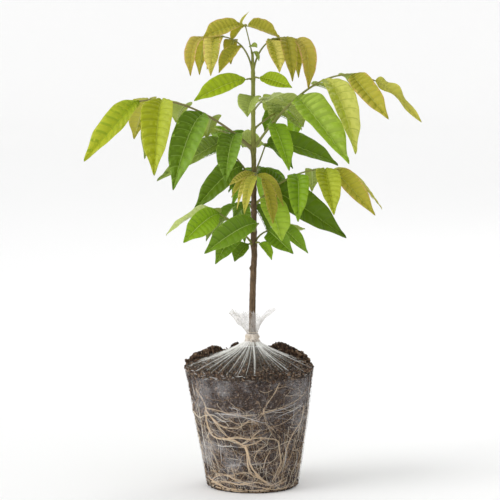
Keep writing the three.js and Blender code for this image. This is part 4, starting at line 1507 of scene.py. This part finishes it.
@dataclass(frozen=True)
class Roots:
    """Tan roots that cling to the outside of the soil, under the film.

    The main ones are rows of places across the front and up from the underside, with a thickness before them.
    """

    ball: Ball
    main: tuple[tuple[float, tuple[tuple[float, float], ...]], ...] = (
        (1.3, (
            (-59, 100), (-54, 78), (-44, 70), (-31, 70), (-21, 67), (-13, 63),
            (-8, 55), (-6, 39), (-2, 26), (8, 19), (18, 14), (26, 10),
        )),
        (0.9, ((-59, 104), (-47, 90), (-39, 80), (-31, 73), (-21, 68), (-15, 63))),
        (1.0, ((-31, 70), (-18, 71), (-5, 70), (8, 72), (18, 71), (28, 69), (33, 65))),
        (0.8, ((-15, 63), (-5, 68), (2, 74), (10, 83))),
        (0.7, ((-13, 62), (-2, 63), (7, 67), (18, 73))),
        (0.5, ((33, 141), (28, 129), (21, 118), (14, 107), (16, 95), (20, 85), (26, 73), (33, 65))),
        (1.0, ((33, 65), (35, 51), (36, 38), (31, 26), (25, 15))),
        (1.9, ((-9, 60), (-5, 47), (-2, 37), (4, 27), (13, 17), (24, 9))),
        (1.0, ((-55, 14), (-44, 9), (-28, 5), (-8, 4), (12, 4), (28, 7), (44, 14))),
        (0.5, (
            (-59, 106), (-44, 105), (-28, 101), (-11, 100), (5, 102),
            (21, 105), (34, 109), (51, 114), (67, 123),
        )),
        (0.8, ((64, 106), (61, 89), (51, 72), (44, 55), (38, 33), (28, 14))),
        (0.8, ((-51, 12), (-41, 21), (-28, 22), (-11, 27), (-2, 26))),
        (0.6, ((2, 44), (7, 55), (16, 63))),
        (0.6, ((13, 33), (18, 46), (23, 56))),
        (0.45, ((-70, 129), (-60, 112), (-57, 96), (-60, 80), (-52, 62), (-47, 44), (-38, 30))),
        (0.7, ((-50, 95), (-38, 86), (-20, 84), (-4, 92), (8, 89))),
        (0.8, ((-52, 9), (-36, 13), (-15, 11), (5, 14), (24, 10), (43, 17))),
        (0.7, ((-30, 21), (-12, 12), (8, 8), (30, 3.5), (44, 5))),
        (0.8, ((-50, 5), (-30, 2.5), (0, 2), (30, 3), (49, 7))),
    )
    fine: int = 620
    stout: int = 22
    strands: int = 3
    seed: int = 23

    def build(self) -> None:
        """Makes all roots as one joined piece in three plain colours."""
        chance = np.random.default_rng(self.seed)
        skin = Skin()
        for thickness, places in self.main:
            self.add_main(skin, thickness, places, chance)
        for number in range(self.stout + self.fine):
            self.add_seeded(skin, number < self.stout, 4.0 if number % 3 else 2.0, chance)
        shades = (
            Fibre("root_tan", (0.600, 0.450, 0.290)),
            Fibre("root_pale", (0.740, 0.640, 0.480)),
            Fibre("root_brown", (0.270, 0.165, 0.080)),
        )
        mount(skin.piece("roots", [shade.material() for shade in shades]))

    def add_main(
        self,
        skin: Skin,
        thickness: float,
        places: Sequence[tuple[float, float]],
        chance: np.random.Generator,
    ) -> None:
        """Adds one main root with a few thin strands beside it.

        Args:
            skin: Mesh that gathers the roots.
            thickness: Its thickness.
            places: How far across and how high it passes on the front.
            chance: Source of the strands' places and thickness.
        """
        across, height = np.array(places, float).T
        angle = self.ball.facing(across, height)
        self.lay(skin, angle, height, 0.7 * thickness, 0, chance)
        for strand in range(self.strands):
            swerve = chance.normal(0, 0.015, len(angle)) * ease(np.arange(len(angle)), 0, 2)
            above = chance.normal(0, 1.2, len(height))
            thin = chance.uniform(0.2, 0.4) * thickness
            self.lay(skin, angle + swerve, height + above, thin, strand % 2, chance)

    def add_seeded(self, skin: Skin, stout: bool, low: float, chance: np.random.Generator) -> None:
        """Adds one root that wanders at random over the soil.

        Args:
            skin: Mesh that gathers the roots.
            stout: True for a long and thick one.
            low: Height that it stays above.
            chance: Source of its way, thickness and colour.
        """
        steps = int(chance.integers(9, 16) if stout else chance.integers(5, 12))
        height = [chance.uniform(60, 120) if stout else chance.beta(1.2, 1.7) * 138 + 4]
        angle = [chance.uniform(0.15, math.pi - 0.15) if stout else chance.uniform(0, 2 * math.pi)]
        heading = chance.normal(-0.9, 0.9)
        for _ in range(steps):
            heading += chance.normal(0, 0.35)
            stride = chance.uniform(6, 11) if stout else chance.uniform(3, 9)
            height.append(float(np.clip(height[-1] + stride * math.sin(heading), low, 146)))
            angle.append(angle[-1] + stride * math.cos(heading) / ROUND_THE_BALL)
        thickness = chance.uniform(0.7, 1.3) if stout else chance.uniform(0.13, 0.36)
        finish = int(chance.integers(0, 3))
        self.lay(skin, np.array(angle), np.array(height), thickness, finish, chance, steps=3, sides=4)

    def lay(
        self,
        skin: Skin,
        angle: Array,
        height: Array,
        thickness: float,
        finish: int,
        chance: np.random.Generator,
        steps: int = 6,
        sides: int = 6,
    ) -> None:
        """Adds one root through places on the soil, smoothed and tapering.

        Args:
            skin: Mesh that gathers the roots.
            angle: Direction round the ball of each place.
            height: Height of each place.
            thickness: Radius where the root starts.
            finish: Number of its colour.
            chance: Source of its small bends.
            steps: Places made for each one given.
            sides: Number of flats round it.
        """
        knots = np.arange(len(angle))
        fine = np.linspace(0, len(angle) - 1, steps * len(angle))
        wander = np.convolve(chance.normal(0, 1, len(fine) + 8), np.ones(9) / 9, "valid")
        turned = smooth_line(knots, angle, fine) + 0.012 * wander
        level = np.maximum(smooth_line(knots, height, fine) + 0.8 * wander, 1.0)
        radii = thickness * (1 - 0.6 * fine / fine[-1]) * (1 + 0.15 * wander)
        skin.add_tube(self.ball.side(turned, level, 0.3 * radii - 0.8), radii, sides, finish)


def smooth_line(knots: Array, values: Array, places: Array) -> Array:
    """Values at places on a smooth curve through the knots.

    Args:
        knots: Place of each knot, counted from nought.
        values: Value at each knot.
        places: Where the curve is read.

    Returns:
        The value at each place.
    """
    slopes = np.gradient(values)
    low = np.clip(places.astype(int), 0, len(knots) - 2)
    t = places - low
    start, end = values[low], values[low + 1]
    curve = (2 * t**3 - 3 * t**2 + 1) * start + (t**3 - 2 * t**2 + t) * slopes[low]
    return curve + (3 * t**2 - 2 * t**3) * end + (t**3 - t**2) * slopes[low + 1]


# Wrapping


SMOOTH = Film("film_smooth", (0.57, 0.56, 0.60), (0.95, 0.93, 0.90))
PLEATED = Film(
    "film_pleated", (0.60, 0.60, 0.54), (0.95, 0.94, 0.91),
    (0.03, 0.08, 0.15, 0.28, 0.48, 0.80),
)
GATHERED = Film(
    "film_gathered", (0.42, 0.34, 0.26), (0.74, 0.66, 0.57),
    (0.10, 0.30, 0.52, 0.72, 0.88, 0.97), 220.0,
)
RUFFLED = Film(
    "film_ruffled", (0.74, 0.69, 0.63), (0.96, 0.94, 0.92),
    (0.10, 0.20, 0.32, 0.46, 0.62, 0.80), 220.0,
)


@dataclass(frozen=True)
class Wrapping:
    """Clear film round the ball, pleated over its top, tied round the stem and flaring above the tie.

    The neck's flare has heights and radii. A winding of the tie has its lower and upper height, radius,
    turns and thickness. A lobe of the frill has its direction in degrees, reach, height and spread. A main
    pleat has its direction in degrees, width, height and length. A haze has its place across and up, its
    half width and half height, and how white it is. A crease, a white line of creased film with a painted
    highlight on it, is a row of places across and up the front.
    """

    ball: Ball
    stem: Stem
    clearance: float = 0.4
    raised: float = 0.4
    hem: float = 144.0
    collar: float = 8.8
    collar_height: float = 183.0
    neck_top: float = 192.5
    neck_flare: tuple[tuple[float, ...], tuple[float, ...]] = (
        (178.6, 180.4, 182.4, 184.6, 187.2, 190.0, 192.5),
        (13.2, 11.2, 9.6, 8.8, 8.3, 8.0, 6.6),
    )
    windings: tuple[tuple[float, float, float, float, float], ...] = (
        (187.4, 189.8, 8.7, 2.6, 0.45), (194.6, 195.4, 6.9, 1.4, 0.40),
    )
    lobes: tuple[tuple[float, float, float, float], ...] = (
        (190, 32, 222, 56), (352, 30, 229, 15), (268, 10, 222, 30), (95, 16, 216, 50),
    )
    between_lobes: tuple[float, float, float] = (0.12, 9, 206)
    frill_foot: float = 6.0
    pleats: int = 74
    main_pleats: tuple[tuple[float, float, float, float], ...] = (
        (-172, 1.5, 0.9, 120), (-160, 0.9, 0.8, 110), (-146, 1.5, 1.0, 106), (-138, 0.8, 1.0, 100),
        (-129.5, 0.6, 0.9, 98), (-121.5, 0.6, 0.9, 100), (-113, 0.7, 0.9, 98), (-104, 0.7, 0.85, 98),
        (-101, 0.5, 0.8, 100), (-91, 0.5, 1.0, 100), (-83, 1.4, 0.8, 100), (-66, 0.5, 1.0, 76),
        (-56, 0.8, 1.0, 100), (-52, 1.1, 1.0, 84), (-48.5, 0.7, 0.9, 96), (-34, 1.3, 0.95, 96),
        (-26, 0.6, 0.8, 100), (-12, 1.5, 1.0, 120),
    )
    sleeve_grid: tuple[int, int] = (102, 420)
    skirt_columns: int = 840
    neck_grid: tuple[int, int] = (34, 300)
    frill_grid: tuple[int, int] = (48, 360)
    streaks: int = 90
    rim_streaks: int = 26
    hazes: tuple[tuple[float, float, float, float, float], ...] = (
        (-62, 120, 10, 26, 0.13), (-36, 134, 10, 15, 0.12), (58, 124, 14, 18, 0.14),
        (58, 88, 10, 20, 0.11), (-56, 50, 8, 18, 0.20), (-38, 57, 8, 9, 0.10),
        (-26, 38, 11, 12, 0.13), (-2, 96, 30, 4, 0.06), (-26, 100, 16, 3, 0.12),
    )
    creases: tuple[tuple[tuple[float, float], ...], ...] = (
        ((-47, 102), (-33, 101), (-18, 101.5)), ((-43, 94), (-35, 92), (-27, 92.5)),
        ((-48, 61), (-32, 60), (-16, 60.5)), ((-29, 111), (-15, 107)),
        ((-15, 100), (0, 95), (17, 91)), ((18, 103), (34, 107), (53, 112)),
        ((30, 98), (48, 103), (62, 110)), ((-66, 104), (-61, 70), (-55, 26)),
        ((72, 148), (68, 106), (60, 46)), ((-74, 138), (-70, 120)),
        ((-38, 60), (-38, 48), (-37, 38)), ((40, 62), (42, 50), (40, 34)),
    )
    seed: int = 5

    def build(self) -> None:
        """Makes sleeve, skirt, neck, tie and frill."""
        self.build_sleeve()
        self.build_skirt()
        self.build_neck()
        self.build_tie()
        self.build_frill()

    def build_sleeve(self) -> None:
        """Makes the film round the side with shallow wrinkles, hazy patches and thin white creases, whose
        white is partly painted highlight.
        """
        chance = np.random.default_rng(self.seed + 3)
        rows, columns = self.sleeve_grid
        angle, height = np.meshgrid(whole_turn(columns), np.linspace(2.0, self.hem, rows))
        flat = self.ball.side(angle, height)
        leaning = np.stack([flat[..., 0], flat[..., 1], height * 0.35], axis=-1)
        level = np.stack([flat[..., 0] * 0.2, flat[..., 1] * 0.2, height + 4 * np.sin(2 * angle)], axis=-1)
        upright = np.clip(1 - np.abs(grain(leaning, 16.0, 2, 2.0)) * 3.2, 0, 1) ** 3
        girdle = np.clip(1 - np.abs(grain(level, 13.0, 2, 9.0)) * 3.4, 0, 1) ** 3
        out = self.clearance + 0.7 * np.maximum(upright, girdle) + 0.25 * grain(flat, 6.0, 2, 4.0)
        # A little whiter on the wrinkles: the film's own haze, with a painted highlight on the ridges.
        density = 0.036 + 0.05 * grain(flat, 7.0, 3, 21.0) + 0.04 * upright**2 + 0.09 * girdle**2
        density = density + 0.3 * np.maximum(0, grain(flat, 34.0, 2, 14.0) - 0.12) * (flat[..., 1] > -20)
        for x, z, wide, tall, depth in self.hazes:
            near = np.exp(-np.abs((flat[..., 0] - x) / wide) ** 3 - np.abs((height - z) / tall) ** 3)
            density = density + depth * near * (1 + 0.35 * grain(flat, 11.0, 2, 17.0)) * (flat[..., 1] < 0)
        skin = Skin()
        finish = SMOOTH.deal(density[:-1], chance)
        skin.add_grid(self.ball.side(angle, height, out), finish, closed=True)
        for places in self.creases:
            self.add_crease(skin, places)
        for number in range(self.streaks):
            self.add_streak(skin, number, chance)
        mount(skin.piece("film_round_side", SMOOTH.materials()), ["film_sleeve"])

    def add_line(
        self,
        skin: Skin,
        angle: Array,
        height: Array,
        radii: Array,
        film: Film,
        less: int = 0,
    ) -> None:
        """Adds a thin raised line along the film.

        Args:
            skin: Mesh that gathers the film.
            angle: Direction round the ball of each place.
            height: Height of each place.
            radii: Its radius at each place.
            film: Finish that it takes a grade of.
            less: Grades clearer than the densest.
        """
        line = self.ball.side(angle, height, self.clearance + self.raised)
        skin.add_tube(line, radii, 5, len(film.grades) - 1 - less)

    def add_crease(self, skin: Skin, places: Sequence[tuple[float, float]]) -> None:
        """Adds one white crease line: creased film with a painted highlight along it.

        Args:
            skin: Mesh that gathers the film.
            places: How far across and how high it passes on the front.
        """
        across, tall = np.array(places, float).T
        line = np.linspace(0, 1, 30)
        x, z = (np.interp(line, np.linspace(0, 1, len(across)), one) for one in (across, tall))
        radii = 0.24 * np.sin(np.pi * (0.06 + 0.88 * line)) ** 0.6
        self.add_line(skin, self.ball.facing(x, z), z + 0.5 * np.sin(9 * line + x[0]), radii, SMOOTH)

    def add_streak(self, skin: Skin, number: int, chance: np.random.Generator) -> None:
        """Adds one fine streak at random.

        Args:
            skin: Mesh that gathers the film.
            number: Its number. Every third is steep.
            chance: Source of its place, length, bow and thickness.
        """
        length = chance.uniform(10, 46)
        share = np.linspace(-0.5, 0.5, 24)
        start = chance.uniform(0, 2 * math.pi)
        middle = chance.choice([100, 93, 60, 80, 20, 40]) + chance.normal(0, 5)
        heading = chance.normal(0, 0.10) if number % 3 else chance.normal(1.45, 0.12)
        bow = chance.normal(0, 2.0) * (0.25 - share**2)
        level = np.clip(middle + length * share * math.sin(heading) + bow, 3, self.hem - 2)
        around = start + length * share * math.cos(heading) / ROUND_THE_BALL
        radii = chance.uniform(0.08, 0.24) * (1 - (2 * share) ** 2) + 0.03
        self.add_line(skin, around, level, radii, SMOOTH, 1 + number % 2)

    def folds(self, angle: Array, reach: Array, chance: np.random.Generator) -> Array:
        """Height of the pleats round the ball, from nought in the hollows to one on the ridges.

        Args:
            angle: Direction round the ball.
            reach: Distance from the stem in millimetres.
            chance: Source of the small pleats' places, widths, heights and lengths.

        Returns:
            The height for each place.
        """
        shifted = np.arange(self.pleats) + chance.uniform(-0.48, 0.48, self.pleats)
        centres = shifted * 2 * math.pi / self.pleats
        widths = chance.uniform(0.3, 0.8, self.pleats)
        heights = chance.uniform(0.35, 0.9, self.pleats)
        ends = chance.uniform(60, 128, self.pleats)
        total = np.zeros_like(angle)
        pleats = list(zip(centres, widths, heights, ends))
        pleats += [(math.radians(a), *rest) for a, *rest in self.main_pleats]
        for centre, width, height, end in pleats:
            off = np.abs(aside(angle, centre)) * reach
            total = np.maximum(total, height * np.exp(-off / width) * (1 - ease(reach, end - 16, end)))
        return total

    def build_skirt(self) -> None:
        """Makes the film over the top, drawn up in sharp pleats to the collar like a tent."""
        chance = np.random.default_rng(self.seed)
        turn = whole_turn(self.skirt_columns)
        inmost = self.collar / self.ball.rim_radius
        shares = np.concatenate([np.linspace(0.985, 0.3, 42), np.linspace(0.285, inmost, 18)])
        heights = np.array([self.hem - 0.6, self.hem + 2.0, self.ball.rim_height - 1.5])
        angle, share = np.meshgrid(turn, shares)
        bent = angle + 0.035 * np.sin(5 * angle + 3 * share) * share + 0.02 * np.sin(11 * angle)
        fold = self.folds(bent, share * self.ball.rim_radius, chance)
        height = 0.25 + 1.7 * (1 - ease(share, 0.25, 1.0)) * ease(share, inmost, 0.22)
        drawn = self.collar_height - (self.ball.rim_height + self.ball.rise * (1 - inmost**1.25))
        drawn = drawn * np.exp(-((share - inmost) / 0.12))
        lift = self.clearance + 0.3 + fold * height + drawn
        top = self.ball.top(angle, share, lift)
        around, level = np.meshgrid(turn, heights)
        side = self.ball.side(around, level, self.clearance)
        grid = np.concatenate([side, top])
        ridge = np.concatenate([0.5 * fold[:1] * np.array([[0.0], [0.3], [1.0]]), fold])[:-1]
        reached = np.concatenate([np.full(level.shape, 1.0), share])[:-1]
        facing = np.concatenate([around, angle])[:-1]
        blotch = grain(grid * [1, 1, 0.2], 12.0, 3, 8.0)[:-1]
        inward = ease(1 - reached, 0.0, 0.9)
        # Painted sheen: the film is denser at the left and right, where it is seen edge on.
        sides = bell(aside(facing, 3.22), 0.17) + bell(aside(facing, -0.03), 0.16)
        # Whiter along the pleats' ridges: creased film, with a painted highlight on each ridge.
        line = np.clip((ridge - 0.30 + 0.10 * inward - 0.12 * blotch) / 0.40, 0, 1)
        density = 0.03 + 0.12 * inward**1.5 + (0.30 + 0.1 * blotch) * sides + 0.04 * blotch
        density = density + 0.60 * line * (0.6 + 0.4 * inward)
        open_back = ease(np.sin(facing), 0.10, 0.55) * ease(reached, 0.32, 0.55)
        finish = PLEATED.deal(density * (1 - open_back), chance)
        skin = Skin()
        skin.add_grid(grid, finish, closed=True)
        for number in range(self.rim_streaks):
            start = (-2.15 if number % 2 else -1.5) + chance.normal(0, 0.35 if number % 2 else 0.8)
            around = start + np.linspace(0, chance.uniform(0.03, 0.14), 20)
            level = self.ball.rim_height - 2.0 + chance.normal(0, 2.4) + 0.9 * np.sin(11 * around + number)
            radii = np.sin(np.linspace(0.1, 3.0, 20)) * chance.uniform(0.10, 0.26)
            self.add_line(skin, around, level, radii, PLEATED)
        mount(skin.piece("film_over_top", PLEATED.materials()), ["film_skirt"])

    def build_neck(self) -> None:
        """Makes the gathered film between the collar and the tie."""
        chance = np.random.default_rng(self.seed)
        rows, columns = self.neck_grid
        heights = np.linspace(self.collar_height - 4.4, self.neck_top, rows)
        angle, height = np.meshgrid(whole_turn(columns), heights)
        up = (height - heights[0]) / (heights[-1] - heights[0])
        fold = self.folds(angle + 0.8 * up, np.full_like(angle, 15.0), chance)
        flared = np.interp(heights, *self.neck_flare)[:, None]
        bunched = np.stack([8 * np.cos(angle), 8 * np.sin(angle), 0.5 * height], axis=-1)
        radius = flared + 0.9 * fold - 0.2 + 2.0 * grain(bunched, 4.5, 2, 19.0) * ease(up, 0.1, 0.5)
        grid = self.stem.ring(angle, radius, height)
        skin = Skin()
        # Whiter up the neck and on the folds' ridges: bunched film, with a painted highlight on the ridges.
        density = 0.06 + 0.62 * ease(up, 0.0, 0.5) + 0.35 * fold + 0.35 * grain(grid, 3.0, 2, 15.0)
        skin.add_grid(grid, GATHERED.deal(density[:-1], chance), closed=True)
        mount(skin.piece("film_gathered_neck", GATHERED.materials()), ["film_neck"])

    def build_tie(self) -> None:
        """Makes the string wound round the neck and once more just above."""
        skin = Skin()
        for low, high, radius, turns, thickness in self.windings:
            share = np.linspace(0, 1, int(50 * turns))
            angle = 2 * math.pi * turns * share + 0.8
            wobbly = radius + (0.25 * np.sin(5 * angle) + 0.2 * np.sin(2.3 * angle))
            height = low + (high - low) * share + 0.8 * np.sin(angle - 0.6)
            line = np.stack([wobbly * np.cos(angle), wobbly * np.sin(angle), height], axis=-1)
            skin.add_tube(line, np.full(len(line), thickness), 8)
        string = Fibre("string", (0.640, 0.560, 0.460))
        mount(skin.piece("neck_string", [string.material()]), ["neck_tie"])

    def build_frill(self) -> None:
        """Makes the ruffled flare of film above the tie, broad to the left and pointed to the right."""
        rows, columns = self.frill_grid
        turn = whole_turn(columns)
        weights = [bell(np.degrees(aside(turn, math.radians(a))), wide) for a, _, _, wide in self.lobes]
        rest, near, low = self.between_lobes
        total = sum(weights) + rest
        reach = (sum(w * lobe[1] for w, lobe in zip(weights, self.lobes)) + rest * near) / total
        top = (sum(w * lobe[2] for w, lobe in zip(weights, self.lobes)) + rest * low) / total
        share = np.linspace(0, 1, rows)[:, None]
        ragged = 1.6 * np.sin(7 * turn) + 1.3 * np.sin(17 * turn + 1) + 0.9 * np.sin(41 * turn)
        bottom = self.neck_top - 0.8
        radius = self.frill_foot + (reach - self.frill_foot) * share ** (1.1 + 0.9 * weights[1] / total)
        height = bottom + (top + ragged - bottom) * share
        flat = np.stack([radius * np.cos(turn), radius * np.sin(turn), height * 0.6], axis=-1)
        crumple = 2.6 * grain(flat, 10.0, 2, 3.0) + 0.7 * grain(flat, 3.0, 2, 6.0)
        ruffle = 1.5 * np.sin(9 * turn + 3 * share) * share**0.8 + 0.35 * np.sin(27 * turn) * (1 - share)
        radius = np.maximum(radius + ruffle + crumple * ease(share, 0.05, 0.5), 4.8)
        height = height + 1.3 * grain(flat, 7.0, 2, 12.0) * share
        grid = self.stem.ring(turn, radius, height)
        skin = Skin()
        chance = np.random.default_rng(self.seed + 9)
        density = 0.26 + 0.10 * crumple + 0.20 * (1 - share) + 0.12 * grain(flat, 4.0, 2, 26.0)
        density = (density + 0.12 * (share > 0.93)) * (1 - 0.62 * share * weights[1] / total)
        skin.add_grid(grid, RUFFLED.deal(density[:-1], chance), closed=True)
        mount(skin.piece("film_flare", RUFFLED.materials()), ["film_frill"])


# Studio


@dataclass(frozen=True)
class Studio:
    """Pale sweep of floor, soft light from the left and the camera."""

    world_level: float = 0.80
    key_strength: float = 1.74
    key_angle: float = 42.0
    key_towards: Place = (-0.72, -0.32, 0.62)
    rim_power: float = 14.0
    rim_size: float = 1.4
    rim_place: Place = (1.6, 1.9, 2.3)
    aim: Place = (0.0, 0.0, 0.3)
    floor_half: float = 60000.0
    floor_level: float = -0.3
    lens: float = 173.7
    tilt: float = 84.0
    place: Place = (-0.003, -3.0, 0.613)

    def build(self) -> None:
        """Sets up floor, lights, world and camera."""
        self.build_floor()
        key = bpy.data.lights.new("key", "SUN")
        key.energy = self.key_strength
        key.angle = math.radians(self.key_angle)
        self.hang(key, self.key_towards)
        rim = bpy.data.lights.new("rim", "AREA")
        rim.energy = self.rim_power
        rim.size = self.rim_size
        self.hang(rim, self.rim_place)
        world = bpy.data.worlds.new("studio")
        world.use_nodes = True
        sky = world.node_tree.nodes["Background"]
        sky.inputs["Color"].default_value = (1.0, 1.0, 1.0, 1.0)
        sky.inputs["Strength"].default_value = self.world_level
        scene = bpy.context.scene
        scene.world = world
        scene.view_settings.view_transform = "Standard"
        data = bpy.data.cameras.new("camera")
        data.lens = self.lens
        data.clip_end = 100.0
        camera = bpy.data.objects.new("camera", data)
        camera.location = self.place
        camera.rotation_euler = (math.radians(self.tilt), 0.0, 0.0)
        scene.collection.objects.link(camera)
        scene.camera = camera

    def hang(self, light: bpy.types.Light, place: Place) -> None:
        """Hangs a light and aims it at the plant's middle.

        Args:
            light: The light.
            place: Where it hangs, in metres.
        """
        lamp = bpy.data.objects.new(light.name, light)
        lamp.location = place
        lamp.rotation_euler = (Vector(place) - Vector(self.aim)).to_track_quat("Z", "Y").to_euler()
        bpy.context.scene.collection.objects.link(lamp)

    def build_floor(self) -> None:
        """Makes the floor, which sweeps up behind the plant."""
        bend = np.linspace(0, math.pi / 2, 24)
        y = np.concatenate([[-self.floor_half, -3000.0, 0.0, 4000.0], 8000 + 3000 * np.sin(bend), [11000.0]])
        z = self.floor_level + 3000 * (1 - np.cos(bend))
        z = np.concatenate([np.full(4, self.floor_level), z, [9000.0]])
        x = np.linspace(-self.floor_half, self.floor_half, 13)
        grid = np.stack(np.broadcast_arrays(x, y[:, None], z[:, None]), axis=-1)
        skin = Skin()
        skin.add_grid(grid)
        nodes = Nodes("floor")
        solid = nodes.add("BsdfPrincipled", {"Specular IOR Level": 0.2})
        nodes.link(nodes.spread(nodes.noise(3.0), 0.7, 0.8), solid.inputs["Roughness"])
        place = nodes.add("SeparateXYZ")
        nodes.link(nodes.add("TexCoord").outputs["Object"], place.inputs["Vector"])
        away = nodes.spread(place.outputs["Y"], 0.0, 1.0, 0.0, 11.0)
        shades = [(0.0, (0.935, 0.935, 0.935)), (0.7, (0.903, 0.903, 0.900)), (1.0, (0.835, 0.835, 0.835))]
        nodes.link(nodes.ramp(away, shades), solid.inputs["Base Color"])
        skin.piece("floor", [nodes.finish(solid)])


def main() -> None:
    """Builds the plant from the ball up, then the studio."""
    logging.basicConfig(level=logging.INFO, format="%(message)s")
    ball, stem = Ball(), Stem()
    ball.build()
    Crumbs(ball).build()
    Roots(ball).build()
    Wrapping(ball, stem).build()
    stem.build()
    for number, one in enumerate(LEAVES):
        one.build(stem, number)
    Studio().build()
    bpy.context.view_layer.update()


if __name__ == "__main__":
    main()
